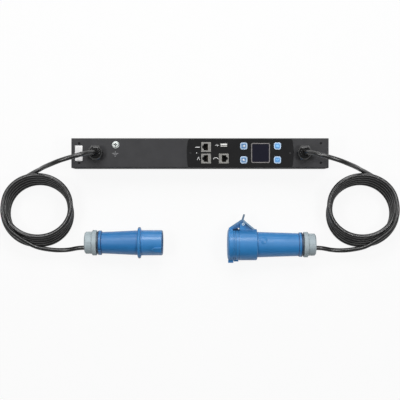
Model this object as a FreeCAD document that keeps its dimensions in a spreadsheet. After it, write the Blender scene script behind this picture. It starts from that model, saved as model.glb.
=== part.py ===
import FreeCAD, Part
import math
import os
import re

import Sketcher

os.makedirs("parts", exist_ok=True)
doc = FreeCAD.newDocument("rack_power_unit")
sheet = doc.addObject("Spreadsheet::Sheet", "Sizes")

# Driving sizes in millimetres and degrees, one row each
SIZES = [
    ("chassis_length", 445.0, "case, end to end"),
    ("chassis_height", 51.5, "front face, across"),
    ("chassis_depth", 53.0, "rear face to front face"),
    ("sheet_wall", 1.5, "folded steel sheet"),
    ("bend_radius", 2.0, "outside of each fold"),
    ("fit_gap", 0.2, "play between nested pieces"),
    ("cover_lip", 14.0, "height of the rear cover's folded edges"),
    ("cap_wall", 2.5, "outer plate of an end cap"),
    ("cap_reach", 20.0, "end cap inside the case"),
    ("screw_inset", 13.5, "front screws from the case's end"),
    ("screw_rise", 16.6, "front screws from the middle line"),
    ("screw_radius", 1.25, "case screw thread"),
    ("screw_head_radius", 2.3, "case screw head"),
    ("screw_length", 9.0, "case screw, overall"),
    ("side_screw_pitch", 150.0, "side screws along the case"),
    ("side_screw_rise", 7.5, "side screws above the rear face"),
    ("insert_pitch", 311.0, "rear mounting inserts, along the case"),
    ("insert_bore", 2.5, "thread of a mounting insert"),
    ("insert_radius", 4.7, "head of a mounting insert"),
    ("gland_inset", 42.5, "cord gland from the case's end"),
    ("gland_flats", 24.0, "gland hexagon across flats"),
    ("gland_flange", 4.5, "gland hexagon on the face"),
    ("gland_shank_radius", 9.9, "gland thread"),
    ("gland_shank", 11.0, "gland thread behind the face"),
    ("gland_neck_radius", 9.0, "gland neck in the dome nut"),
    ("gland_neck", 9.0, "height of the gland neck"),
    ("gland_bore", 6.2, "through the gland"),
    ("gland_nut_height", 14.0, "dome nut"),
    ("gland_dome_radius", 15.5, "sphere of the dome"),
    ("cord_radius", 3.9, "round mains cord"),
    ("lip_radius", 5.7, "seal's lip in the dome nut's mouth"),
    ("lip_proud", 0.9, "seal's lip above the dome nut"),
    ("lip_gap", 0.5, "seal's lip from the cord"),
    ("earth_inset", 76.7, "earth screw from the left end"),
    ("earth_rise", 14.2, "earth screw above the middle line"),
    ("earth_head_radius", 5.1, "earth screw head"),
    ("earth_head", 3.4, "height of the earth screw head"),
    ("earth_shank_radius", 2.5, "earth screw thread"),
    ("module_gap", 18.5, "module bezel from the right gland's middle"),
    ("bezel_lip", 3.0, "bezel past each end of the module tray"),
    ("bezel_height", 48.4, "module bezel"),
    ("bezel_proud", 1.6, "bezel above the face"),
    ("bezel_bulge", 2.2, "bow of the bezel's ends"),
    ("bezel_corner", 3.0, "bezel corner"),
    ("tray_length", 178.0, "module tray in the case"),
    ("tray_height", 43.0, "module tray in the case"),
    ("tray_depth", 24.0, "module tray behind the face"),
    ("tray_wall", 2.0, "module tray"),
    ("board_wall", 1.6, "circuit boards"),
    ("board_drop", 18.6, "module board's rear behind the face"),
    ("jack_size", 16.8, "square jack frame"),
    ("jack_proud", 0.5, "jack and port above the bezel"),
    ("jack_left", 30.0, "left jacks from the tray's left end"),
    ("jack_right", 60.6, "right jack from the tray's left end"),
    ("jack_upper", 10.3, "upper jack above the middle line"),
    ("jack_lower", 9.6, "lower jacks below the middle line"),
    ("jack_mouth", 11.8, "jack opening, across"),
    ("port_length", 12.6, "port shell"),
    ("port_height", 5.9, "port shell"),
    ("port_rise", 13.7, "port above the middle line"),
    ("display_centre", 53.9, "display from the tray's right end"),
    ("display_width", 32.3, "display frame, along the case"),
    ("display_height", 34.3, "display frame, across"),
    ("display_rim", 1.5, "display frame line"),
    ("button_left", 82.9, "left buttons from the tray's right end"),
    ("button_right", 24.7, "right buttons from the tray's right end"),
    ("button_rise", 12.0, "buttons from the middle line"),
    ("button_size", 12.2, "square button cap"),
    ("button_corner", 3.4, "button cap corner"),
    ("button_proud", 1.2, "button above the bezel"),
    ("button_play", 0.3, "button in its window"),
    ("button_travel", 0.8, "button stroke"),
    ("switch_size", 6.2, "square switch under a button"),
    ("switch_height", 8.0, "switch on the module board"),
    ("meter_inset", 74.5, "metering board from the left end"),
    ("meter_length", 108.0, "metering board along the case"),
    ("meter_width", 40.0, "metering board, across"),
    ("meter_part", 16.0, "height of the board's largest part"),
    ("standoff_radius", 3.0, "post under the metering board"),
    ("standoff_inset", 4.0, "post from the metering board's edge"),
    ("wire_radius", 1.2, "insulated conductor"),
    ("core_circle", 1.85, "conductors from the cord's axis"),
    ("core_fan", 17.0, "conductors' run from the gland to the rear cover"),
    ("line_across", 10.0, "line conductor from the middle line"),
    ("neutral_across", 6.8, "neutral conductor from the middle line"),
    ("earth_across", 10.4, "earth conductor from the middle line"),
    ("wire_rise", 10.0, "conductors above the rear face"),
    ("sensor_radius", 8.0, "current transformer, half height"),
    ("coil_height", 46.5, "cord coil on the floor"),
    ("nut_radius", 19.4, "clamp nut of plug and connector"),
    ("nut_flange_radius", 22.3, "clamp nut flange"),
    ("nut_ribs", 13.2, "ribbed length of the clamp nut"),
    ("nut_length", 20.8, "clamp nut"),
    ("nut_mouth", 13.0, "cable mouth of the clamp nut"),
    ("spigot_radius", 15.5, "threaded rear end of a handle"),
    ("tenon_radius", 18.6, "collar of plug or connector inside its handle"),
    ("tenon_reach", 8.0, "collar of plug or connector inside its handle"),
    ("core_radius", 16.4, "contact carrier inside the tenon"),
    ("plug_cable_offset", 8.6, "cord from the axis in the plug's clamp nut"),
    ("connector_cable_offset", 5.6, "cord from the axis in the connector's clamp nut"),
    ("rim_radius", 21.5, "ring at a handle's rear end"),
    ("rim_width", 6.3, "ring at a handle's rear end"),
    ("cord_reach", 8.5, "cord inside the clamp nut"),
    ("nut_slit", 2.3, "open slit between clamp nut and handle"),
    ("plug_rear", -202.0, "rear of the plug along the case"),
    ("plug_across", -156.3, "plug axis across"),
    ("plug_grip_rear", 18.8, "plug handle radius at the ring"),
    ("plug_grip_front", 21.7, "plug handle radius at the collar"),
    ("plug_collar_start", 92.9, "collar from the plug's rear"),
    ("plug_collar_width", 5.3, "plug collar"),
    ("plug_collar_radius", 27.6, "plug collar"),
    ("collar_depth", 9.0, "plug collar's rear face to the shroud"),
    ("collar_round", 2.2, "rounding of the plug collar's edges"),
    ("plug_length", 136.7, "plug, overall"),
    ("shroud_radius", 22.2, "plug shroud, outside"),
    ("shroud_wall", 2.8, "plug shroud"),
    ("shroud_round", 2.5, "rounding of the shroud's front edge"),
    ("key_turn", 30.0, "plug key turned off the top, degrees"),
    ("pin_circle", 9.5, "pins from the plug's axis"),
    ("pin_radius", 2.5, "line and neutral pin"),
    ("earth_pin_radius", 3.5, "earth pin"),
    ("connector_front", 47.9, "front of the connector along the case"),
    ("connector_across", -159.6, "connector axis across"),
    ("connector_rise", 28.5, "connector axis above the floor"),
    ("lid_radius", 28.2, "connector lid"),
    ("lid_depth", 10.6, "connector lid, front to back"),
    ("lid_gap", 0.3, "lid to housing"),
    ("housing_radius", 27.4, "connector housing"),
    ("housing_end", 51.9, "housing's rear from the connector's front"),
    ("housing_bore", 23.0, "connector socket"),
    ("insert_front_radius", 19.0, "contact insert in the socket"),
    ("connector_grip_front", 22.3, "connector handle radius at the housing"),
    ("connector_grip_rear", 20.0, "connector handle radius at the ring"),
    ("connector_ring", 125.3, "ring from the connector's front"),
    ("hinge_along", 27.6, "lid pin from the connector's front"),
    ("hinge_above", 36.2, "lid pin from the connector's axis"),
    ("hinge_pin_radius", 1.5, "lid pin"),
    ("hinge_arm", 6.6, "half width of the lid's arm"),
    ("hinge_cheek", 2.6, "cheek of the hinge bracket"),
    ("cheek_recess", 1.2, "hollow in the cheek's outer face, depth"),
]
for row, (alias, value, note) in enumerate(SIZES, start=1):
    sheet.set(f"A{row}", alias)
    sheet.set(f"B{row}", str(value))
    sheet.setAlias(f"B{row}", alias)
    sheet.set(f"C{row}", note)
doc.recompute()
ALIASES = {alias for alias, value, note in SIZES}
nodes = []


def formula(text):
    def named(found):
        return "Sizes." + found[0] if found[0] in ALIASES else found[0]
    return re.sub(r"[a-z][a-z_]*", named, str(text))


def number(text):
    return float(sheet.evalExpression(formula(text)))


def bind(item, **properties):
    for name, text in properties.items():
        item.setExpression(name, formula(text))


def place(item, spot, axis=None, angle=0):
    if axis:
        turn = FreeCAD.Rotation(FreeCAD.Vector(*axis), angle)
        item.Placement = FreeCAD.Placement(FreeCAD.Vector(), turn)
    for direction, text in zip("xyz", spot):
        item.setExpression(f"Placement.Base.{direction}", formula(text))


def box(name, spot, length, width, height):
    item = doc.addObject("Part::Box", name)
    bind(item, Length=length, Width=width, Height=height)
    place(item, spot)
    return item


def middle_box(name, centre, length, width, base, height):
    along, across = centre
    spot = (f"{along} - ({length})/2", f"{across} - ({width})/2", base)
    return box(name, spot, length, width, height)


def cylinder(name, spot, radius, height, axis=None, angle=0):
    item = doc.addObject("Part::Cylinder", name)
    bind(item, Radius=radius, Height=height)
    place(item, spot, axis, angle)
    return item


def cone(name, spot, low_radius, high_radius, height, axis=None, angle=0):
    item = doc.addObject("Part::Cone", name)
    bind(item, Radius1=low_radius, Radius2=high_radius, Height=height)
    place(item, spot, axis, angle)
    return item


def hexagon(name, spot, flats, height):
    item = doc.addObject("Part::Prism", name)
    item.Polygon = 6
    bind(item, Circumradius=f"({flats})/sqrt(3)", Height=height)
    place(item, spot)
    return item


def fuse(name, *items):
    item = doc.addObject("Part::MultiFuse", name)
    item.Shapes = list(items)
    return item


def common(name, *items):
    item = doc.addObject("Part::MultiCommon", name)
    item.Shapes = list(items)
    return item


def cut(name, base, *tools):
    item = doc.addObject("Part::Cut", name)
    item.Base = base
    item.Tool = tools[0] if len(tools) == 1 else fuse(name + "_tools", *tools)
    return item


def group(name, *items):
    item = doc.addObject("Part::Compound", name)
    item.Links = list(items)
    return item


def rounded(name, base, radius, chosen):
    doc.recompute()
    item = doc.addObject("Part::Fillet", name)
    item.Base = base
    size = number(radius)
    item.Edges = [(n, size, size) for n, edge in enumerate(base.Shape.Edges, start=1) if chosen(edge)]
    return item


def upright(edge):
    ends = [vertex.Point for vertex in edge.Vertexes]
    return len(ends) == 2 and abs(ends[0].x - ends[1].x) < 1e-6 and abs(ends[0].y - ends[1].y) < 1e-6


def body(name, spot=("0", "0", "0"), axis=None, angle=0):
    item = doc.addObject("PartDesign::Body", name)
    place(item, spot, axis, angle)
    return item


def sketch(owner, name, role, offset="0"):
    item = owner.newObject("Sketcher::SketchObject", name)
    item.AttachmentSupport = [(next(f for f in owner.Origin.OriginFeatures if f.Role == role), "")]
    item.MapMode = "FlatFace"
    item.setExpression("AttachmentOffset.Base.z", formula(offset))
    return item


def outline(item, corners):
    first = item.GeometryCount
    count = len(corners)
    spots = [FreeCAD.Vector(number(across), number(up), 0) for across, up in corners]
    for n in range(count):
        item.addGeometry(Part.LineSegment(spots[n], spots[(n + 1) % count]), False)
    for n in range(count):
        item.addConstraint(Sketcher.Constraint("Coincident", first + n, 2, first + (n + 1) % count, 1))
    for n, corner in enumerate(corners):
        for kind, text in zip(("DistanceX", "DistanceY"), corner):
            index = item.addConstraint(Sketcher.Constraint(kind, -1, 1, first + n, 1, number(text)))
            item.setExpression(f"Constraints[{index}]", formula(text))


def rectangle(item, centre, length, width):
    along, across = centre
    low, high = f"({along}) - ({length})/2", f"({along}) + ({length})/2"
    near, far = f"({across}) - ({width})/2", f"({across}) + ({width})/2"
    outline(item, [(low, near), (high, near), (high, far), (low, far)])


def circle(item, centre, radius):
    spot = FreeCAD.Vector(number(centre[0]), number(centre[1]), 0)
    ring = item.addGeometry(Part.Circle(spot, FreeCAD.Vector(0, 0, 1), number(radius)), False)
    for kind, text in zip(("DistanceX", "DistanceY"), centre):
        index = item.addConstraint(Sketcher.Constraint(kind, -1, 1, ring, 3, number(text)))
        item.setExpression(f"Constraints[{index}]", formula(text))
    index = item.addConstraint(Sketcher.Constraint("Radius", ring, number(radius)))
    item.setExpression(f"Constraints[{index}]", formula(radius))


def pad(owner, name, profile, length, both=False, back=False):
    item = owner.newObject("PartDesign::Pad", name)
    item.Profile = profile
    item.SideType = "Symmetric" if both else "One side"
    item.Reversed = back
    bind(item, Length=length)
    return item


def pocket(owner, name, profile, length, back=False):
    item = owner.newObject("PartDesign::Pocket", name)
    item.Profile = profile
    item.Reversed = back
    bind(item, Length=length)
    return item


def fold(owner, name, feature, radius, chosen):
    doc.recompute()
    edges = [f"Edge{n}" for n, edge in enumerate(feature.Shape.Edges, start=1) if chosen(edge)]
    item = owner.newObject("PartDesign::Fillet", name)
    item.Base = (feature, edges)
    bind(item, Radius=radius)
    return item


def turned(name, spot, corners, axis=None, angle=0):
    item = body(name, spot, axis, angle)
    profile = sketch(item, name + "_profile", "XY_Plane")
    outline(profile, corners)
    spin = item.newObject("PartDesign::Revolution", name + "_turned")
    spin.Profile = profile
    spin.ReferenceAxis = (profile, ["H_Axis"])
    spin.Angle = 360
    return item


def keep(item, node):
    item.Label = node
    nodes.append(item)


HALF_HEIGHT = "chassis_height/2"
BACK = "chassis_depth - sheet_wall"
BEZEL_LENGTH = "(tray_length + 2*bezel_lip)"
MIDDLE = f"(chassis_length/2 - gland_inset - module_gap - {BEZEL_LENGTH}/2)"
TRAY_LEFT = f"({MIDDLE} - tray_length/2)"
TRAY_RIGHT = f"({MIDDLE} + tray_length/2)"
BEZEL_TOP = "(chassis_depth + bezel_proud)"
BOARD_TOP = "(chassis_depth - board_drop + board_wall)"
SIDES = (("left", -1), ("right", 1))
gland_spots = {"left": "-chassis_length/2 + gland_inset", "right": "chassis_length/2 - gland_inset"}
screw_spots = [
    (f"{side}*(chassis_length/2 - screw_inset)", f"{rise}*screw_rise")
    for word, side in SIDES
    for rise in (-1, 1)
]
side_screw_spots = [(f"{step}*side_screw_pitch", side) for step in (-1, 0, 1) for side in (-1, 1)]
earth_spot = ("-chassis_length/2 + earth_inset", "earth_rise")
module_screw_spots = [(f"{MIDDLE} + {side}*(tray_length/2 - 1.5*tray_wall)", "0") for word, side in SIDES]

# Countersunk screws that hold the case, and the cones they sink into
screws = []
front_sinks = []
side_sinks = []
HEAD_DROP = "(screw_head_radius - screw_radius)"


def case_screw(name, spot, axis, angle):
    head = cone(name + "_head", spot, "screw_head_radius", "screw_radius", HEAD_DROP, axis, angle)
    thread = cylinder(name + "_thread", spot, "screw_radius", "screw_length", axis, angle)
    drive = cylinder(name + "_drive", spot, "screw_radius*0.8", "screw_radius*0.6", axis, angle)
    return cut(name, fuse(name + "_blank", head, thread), drive)


for n, (along, across) in enumerate(screw_spots):
    spot = (along, across, "chassis_depth")
    screws.append(case_screw(f"front_screw_{n}", spot, (1, 0, 0), 180))
    front_sinks.append(
        cone(f"front_sink_{n}", spot, "screw_head_radius", "screw_radius", HEAD_DROP, (1, 0, 0), 180)
    )
    front_sinks.append(cylinder(f"front_drill_{n}", spot, "screw_radius", "screw_length", (1, 0, 0), 180))
for n, (along, side) in enumerate(side_screw_spots):
    spot = (along, f"{side}*{HALF_HEIGHT}", "side_screw_rise")
    angle = 90 * side
    screws.append(case_screw(f"side_screw_{n}", spot, (1, 0, 0), angle))
    side_sinks.append(
        cone(f"side_sink_{n}", spot, "screw_head_radius", "screw_radius", HEAD_DROP, (1, 0, 0), angle)
    )
    side_sinks.append(cylinder(f"side_drill_{n}", spot, "screw_radius", "screw_length", (1, 0, 0), angle))
keep(group("case_screw_set", *screws), "case_screws")

# Folded front channel with its cut-outs
channel = body("channel")
section = sketch(channel, "channel_section", "YZ_Plane")
outline(section, [
    (f"-{HALF_HEIGHT}", "0"), (f"-{HALF_HEIGHT}", "chassis_depth"),
    (HALF_HEIGHT, "chassis_depth"), (HALF_HEIGHT, "0"),
    (f"{HALF_HEIGHT} - sheet_wall", "0"), (f"{HALF_HEIGHT} - sheet_wall", BACK),
    (f"-{HALF_HEIGHT} + sheet_wall", BACK), (f"-{HALF_HEIGHT} + sheet_wall", "0"),
])
channel_pad = pad(channel, "channel_pad", section, "chassis_length - 2*cap_wall", both=True)


def long_edge(across, up):
    def chosen(edge):
        ends = [vertex.Point for vertex in edge.Vertexes]
        at_fold = all(
            abs(abs(end.y) - number(across)) < 1e-4 and abs(end.z - number(up)) < 1e-4
            for end in ends
        )
        return at_fold and abs(ends[0].x - ends[1].x) > 1e-4
    return chosen


outer_fold = fold(channel, "outer_fold", channel_pad, "bend_radius", long_edge(HALF_HEIGHT, "chassis_depth"))
inner_fold = fold(
    channel, "inner_fold", outer_fold, "bend_radius - sheet_wall",
    long_edge(f"{HALF_HEIGHT} - sheet_wall", BACK)
)
front_holes = sketch(channel, "front_holes", "XY_Plane", "chassis_depth")
rectangle(front_holes, (MIDDLE, "0"), "tray_length + 2*fit_gap", "tray_height + 2*fit_gap")
for word, side in SIDES:
    circle(front_holes, (gland_spots[word], "0"), "gland_shank_radius + fit_gap")
circle(front_holes, earth_spot, "earth_shank_radius + fit_gap")
pocket(channel, "front_pocket", front_holes, "sheet_wall*2")
keep(cut("channel_drilled", channel, *front_sinks, *side_sinks), "front_channel")

# Folded rear cover between the channel's edges
COVER_HALF = f"({HALF_HEIGHT} - sheet_wall - fit_gap)"
cover = body("cover")
cover_section = sketch(cover, "cover_section", "YZ_Plane")
outline(cover_section, [
    (f"-{COVER_HALF}", "0"), (COVER_HALF, "0"), (COVER_HALF, "cover_lip"),
    (f"{COVER_HALF} - sheet_wall", "cover_lip"), (f"{COVER_HALF} - sheet_wall", "sheet_wall"),
    (f"-{COVER_HALF} + sheet_wall", "sheet_wall"), (f"-{COVER_HALF} + sheet_wall", "cover_lip"),
    (f"-{COVER_HALF}", "cover_lip"),
])
pad(cover, "cover_pad", cover_section, "chassis_length - 2*cap_wall", both=True)
cover_holes = sketch(cover, "cover_holes", "XY_Plane")
for word, side in SIDES:
    circle(cover_holes, (f"{side}*insert_pitch/2", "0"), "insert_radius - 1")
pocket(cover, "cover_pocket", cover_holes, "sheet_wall", back=True)
cover_sinks = [
    cylinder(f"cover_drill_{n}", (along, f"{side}*{HALF_HEIGHT}", "side_screw_rise"),
             "screw_radius", "screw_length", (1, 0, 0), 90 * side)
    for n, (along, side) in enumerate(side_screw_spots)
]
keep(cut("cover_drilled", cover, *cover_sinks), "rear_cover")

# Clinched threaded inserts, flush with the rear face
inserts = []
for word, side in SIDES:
    spot = (f"{side}*insert_pitch/2", "0", "0")
    head_spot = (spot[0], spot[1], "sheet_wall")
    shank = cylinder(f"insert_shank_{word}", spot, "insert_radius - 1", "sheet_wall")
    head = cylinder(f"insert_head_{word}", head_spot, "insert_radius", "4")
    bore = cylinder(f"insert_thread_{word}", spot, "insert_bore", "sheet_wall + 4")
    inserts.append(cut(f"insert_{word}", fuse(f"insert_blank_{word}", shank, head), bore))
keep(group("insert_set", *inserts), "mounting_inserts")

# Moulded end caps with a plug that carries the front screws
CAP_HALF = f"({HALF_HEIGHT} - 2*sheet_wall - 2*fit_gap)"
for word, side in SIDES:
    cap = body(f"cap_{word}")
    inner_face = f"{side}*(chassis_length/2 - cap_wall)"
    plate = sketch(cap, f"cap_plate_{word}", "YZ_Plane", inner_face)
    outline(plate, [
        (f"-{HALF_HEIGHT}", "0"), (HALF_HEIGHT, "0"),
        (HALF_HEIGHT, "chassis_depth"), (f"-{HALF_HEIGHT}", "chassis_depth"),
    ])
    plate_pad = pad(cap, f"cap_plate_pad_{word}", plate, "cap_wall", back=side < 0)
    fold(cap, f"cap_fold_{word}", plate_pad, "bend_radius", long_edge(HALF_HEIGHT, "chassis_depth"))
    stopper = sketch(cap, f"cap_plug_{word}", "YZ_Plane", inner_face)
    outline(stopper, [
        (f"-{CAP_HALF}", "sheet_wall + fit_gap"), (CAP_HALF, "sheet_wall + fit_gap"),
        (CAP_HALF, f"{BACK} - fit_gap"), (f"-{CAP_HALF}", f"{BACK} - fit_gap"),
    ])
    pad(cap, f"cap_plug_pad_{word}", stopper, "cap_reach", back=side > 0)
    plug_end = f"{side}*(chassis_length/2 - cap_wall - cap_reach)"
    hollow = sketch(cap, f"cap_hollow_{word}", "YZ_Plane", plug_end)
    outline(hollow, [
        ("-screw_rise + 5", "sheet_wall + fit_gap + 2.5"), ("screw_rise - 5", "sheet_wall + fit_gap + 2.5"),
        ("screw_rise - 5", f"{BACK} - fit_gap - 2.5"), ("-screw_rise + 5", f"{BACK} - fit_gap - 2.5"),
    ])
    pocket(cap, f"cap_hollow_pocket_{word}", hollow, "cap_reach - 2.5", back=side > 0)
    drills = [
        cylinder(f"cap_drill_{word}_{n}", (along, across, "chassis_depth"), "screw_radius", "screw_length",
                 (1, 0, 0), 180)
        for n, (along, across) in enumerate(screw_spots[:2] if side < 0 else screw_spots[2:])
    ]
    keep(cut(f"cap_drilled_{word}", cap, *drills), f"end_cap_{word}")

# Cord glands: body, dome nut, seal and locknut
seals = []
locknuts = []
NUT_BASE = "(chassis_depth + gland_flange + fit_gap)"
SEAL_BASE = "(chassis_depth + gland_flange - 2)"
MOUTH = f"({NUT_BASE} + gland_nut_height)"
for word, side in SIDES:
    along = gland_spots[word]
    flange = hexagon(f"gland_flange_{word}", (along, "0", "chassis_depth"), "gland_flats", "gland_flange")
    shank = cylinder(
        f"gland_shank_{word}", (along, "0", "chassis_depth - gland_shank"),
        "gland_shank_radius", "gland_shank"
    )
    neck_base = "chassis_depth + gland_flange"
    neck = cylinder(f"gland_neck_{word}", (along, "0", neck_base), "gland_neck_radius", "gland_neck")
    bore = cylinder(
        f"gland_bore_{word}", (along, "0", "chassis_depth - gland_shank"), "gland_bore",
        "gland_shank + gland_flange + gland_neck"
    )
    keep(cut(f"gland_{word}", fuse(f"gland_blank_{word}", flange, shank, neck), bore), f"gland_body_{word}")
    nut_blank = hexagon(f"dome_blank_{word}", (along, "0", NUT_BASE), "gland_flats", "gland_nut_height")
    dome = doc.addObject("Part::Sphere", f"dome_{word}")
    bind(dome, Radius="gland_dome_radius")
    place(dome, (along, "0", f"{MOUTH} - sqrt(gland_dome_radius^2 - 8^2)"))
    nut_bore = cylinder(f"dome_bore_{word}", (along, "0", NUT_BASE), "gland_neck_radius + 0.1", "gland_neck")
    nut_mouth = cylinder(f"dome_mouth_{word}", (along, "0", NUT_BASE), "lip_radius", "gland_nut_height")
    keep(
        cut(f"dome_nut_{word}", common(f"dome_form_{word}", nut_blank, dome), nut_bore, nut_mouth),
        f"gland_nut_{word}"
    )
    ring = cylinder(f"seal_ring_{word}", (along, "0", SEAL_BASE), "gland_bore", "gland_neck + 2")
    core = cylinder(f"seal_core_{word}", (along, "0", SEAL_BASE), "cord_radius", "gland_neck + 2")
    lip_base = f"({SEAL_BASE} + gland_neck + 2)"
    lip_height = f"{MOUTH} + lip_proud - {lip_base}"
    lip = cylinder(f"lip_blank_{word}", (along, "0", lip_base), "lip_radius", lip_height)
    lip_round = rounded(
        f"lip_round_{word}", lip, "lip_proud",
        lambda edge: len(edge.Vertexes) == 1 and edge.Vertexes[0].Point.z > number(MOUTH)
    )
    lip_hole = cylinder(f"lip_hole_{word}", (along, "0", lip_base), "cord_radius + lip_gap", lip_height)
    lip_ring = cut(f"lip_{word}", lip_round, lip_hole)
    seals.append(fuse(f"seal_{word}", cut(f"seal_body_{word}", ring, core), lip_ring))
    nut = hexagon(f"locknut_blank_{word}", (along, "0", f"{BACK} - 5"), "gland_flats + 2", "5")
    hole = cylinder(f"locknut_hole_{word}", (along, "0", f"{BACK} - 5"), "gland_shank_radius", "5")
    locknuts.append(cut(f"locknut_{word}", nut, hole))
keep(group("seal_set", *seals), "gland_seals")
keep(group("locknut_set", *locknuts), "gland_locknuts")

# Earth screw with serrated washer and nut
WASHER_TOP = "(chassis_depth + 1.2)"
washer = cylinder("washer_blank", (*earth_spot, "chassis_depth"), "earth_head_radius + 1.1", "1.2")
washer_hole = cylinder("washer_hole", (*earth_spot, "chassis_depth"), "earth_shank_radius", "1.2")
keep(cut("washer", washer, washer_hole), "earth_washer")
head = cylinder("earth_head_blank", (*earth_spot, WASHER_TOP), "earth_head_radius", "earth_head")
head_round = rounded(
    "earth_head_round", head, "earth_head*0.45",
    lambda edge: len(edge.Vertexes) == 1 and edge.Vertexes[0].Point.z > number(WASHER_TOP) + 1
)
SLOT_DEPTH = "earth_head*0.55"
slots = [
    middle_box(
        f"earth_slot_{n}", earth_spot, size[0], size[1],
        f"{WASHER_TOP} + earth_head - {SLOT_DEPTH}", SLOT_DEPTH
    )
    for n, size in enumerate((("earth_head_radius*1.25", "1.3"), ("1.3", "earth_head_radius*1.25")))
]
earth_thread = cylinder(
    "earth_thread", (*earth_spot, "chassis_depth - 12"),
    "earth_shank_radius", f"{WASHER_TOP} - chassis_depth + 12"
)
keep(cut("earth_bolt", fuse("earth_bolt_blank", head_round, earth_thread), *slots), "earth_screw")
nut = hexagon("earth_nut_blank", (*earth_spot, f"{BACK} - 4"), "8", "4")
nut_hole = cylinder("earth_nut_hole", (*earth_spot, f"{BACK} - 4"), "earth_shank_radius", "4")
keep(cut("earth_nut_cut", nut, nut_hole), "earth_nut")

# Display module: tray, board, bezel
TRAY_BASE = "(chassis_depth - tray_depth)"
tray_block = middle_box("tray_block", (MIDDLE, "0"), "tray_length", "tray_height", TRAY_BASE, "tray_depth")
tray_hollow = middle_box(
    "tray_hollow", (MIDDLE, "0"), "tray_length - 2*tray_wall", "tray_height - 2*tray_wall",
    f"{TRAY_BASE} + tray_wall", "tray_depth"
)
tray_posts = []
tray_drills = []
for n, (along, across) in enumerate(module_screw_spots):
    tray_posts.append(cylinder(f"tray_post_{n}", (along, across, TRAY_BASE), "2.8", "tray_depth"))
    tray_drills.append(cylinder(f"tray_drill_{n}", (along, across, "chassis_depth - 8"), "1", "8"))
for n, (step, rise) in enumerate(((-1, -1), (-1, 1), (1, -1), (1, 1))):
    spot = (f"{MIDDLE} + {step}*(tray_length/2 - 12)", f"{rise}*(tray_height/2 - 6)", TRAY_BASE)
    tray_posts.append(cylinder(f"board_post_{n}", spot, "2.5", "tray_depth - board_drop"))
tray_shell = cut("tray_shell", tray_block, tray_hollow)
keep(cut("tray", fuse("tray_with_posts", tray_shell, *tray_posts), *tray_drills), "module_housing")

board = middle_box(
    "board", (MIDDLE, "0"), "tray_length - 2*tray_wall - 10", "tray_height - 2*tray_wall - 1",
    "chassis_depth - board_drop", "board_wall"
)
keep(board, "module_board")

END_RADIUS = "((bezel_height/2)^2 + bezel_bulge^2)/(2*bezel_bulge)"
bezel_box = middle_box(
    "bezel_box", (MIDDLE, "0"), BEZEL_LENGTH, "bezel_height", "chassis_depth", "bezel_proud"
)
bezel_ends = [
    cylinder(
        f"bezel_end_{word}", (f"{MIDDLE} + {side}*({BEZEL_LENGTH}/2 - {END_RADIUS})", "0", "chassis_depth"),
        END_RADIUS, "bezel_proud"
    )
    for word, side in SIDES
]
bezel_form = common("bezel_form", bezel_box, *bezel_ends)
bezel_blank = rounded("bezel_blank", bezel_form, "bezel_corner", upright)
jack_spots = {
    "network_jack_upper": (f"{TRAY_LEFT} + jack_left", "jack_upper", -1),
    "network_jack_lower": (f"{TRAY_LEFT} + jack_left", "-jack_lower", -1),
    "sensor_jack": (f"{TRAY_LEFT} + jack_right", "-jack_lower", 1),
}
button_spots = {
    "button_upper_left": (f"{TRAY_RIGHT} - button_left", "button_rise"),
    "button_lower_left": (f"{TRAY_RIGHT} - button_left", "-button_rise"),
    "button_upper_right": (f"{TRAY_RIGHT} - button_right", "button_rise"),
    "button_lower_right": (f"{TRAY_RIGHT} - button_right", "-button_rise"),
}
port_spot = (f"{TRAY_LEFT} + jack_right", "port_rise")
display_spot = (f"{TRAY_RIGHT} - display_centre", "0")
bezel_cuts = []
for name, (along, across, notch) in jack_spots.items():
    bezel_cuts.append(
        middle_box(
            f"{name}_window", (along, across), "jack_size + 0.1", "jack_size + 0.1",
            "chassis_depth", "bezel_proud"
        )
    )
bezel_cuts.append(
    middle_box(
        "port_window", port_spot, "port_length + 0.1", "port_height + 0.1", "chassis_depth", "bezel_proud"
    )
)
display_block = middle_box(
    "display_opening", display_spot, "display_width", "display_height", "chassis_depth", "bezel_proud"
)
bezel_cuts.append(rounded("display_opening_round", display_block, "display_rim*1.8", upright))
for name, spot in button_spots.items():
    window = middle_box(
        f"{name}_window", spot, "button_size + 2*button_play", "button_size + 2*button_play",
        "chassis_depth", "bezel_proud"
    )
    bezel_cuts.append(rounded(f"{name}_window_round", window, "button_corner + button_play", upright))
module_screws = []
for n, (along, across) in enumerate(module_screw_spots):
    spot = (along, across, BEZEL_TOP)
    flip = ((1, 0, 0), 180)
    head = cone(f"module_screw_head_{n}", spot, "1.7", "1", "0.7", *flip)
    thread = cylinder(f"module_screw_thread_{n}", spot, "1", "bezel_proud + 6", *flip)
    drive = cylinder(f"module_screw_drive_{n}", spot, "0.8", "0.6", *flip)
    module_screws.append(cut(f"module_screw_{n}", fuse(f"module_screw_blank_{n}", head, thread), drive))
    bezel_cuts.append(cone(f"bezel_sink_{n}", spot, "1.7", "1", "0.7", *flip))
    bezel_cuts.append(cylinder(f"bezel_drill_{n}", spot, "1", "bezel_proud", *flip))
keep(cut("bezel", bezel_blank, *bezel_cuts), "module_bezel")
keep(group("module_screw_set", *module_screws), "module_screws")

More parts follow.
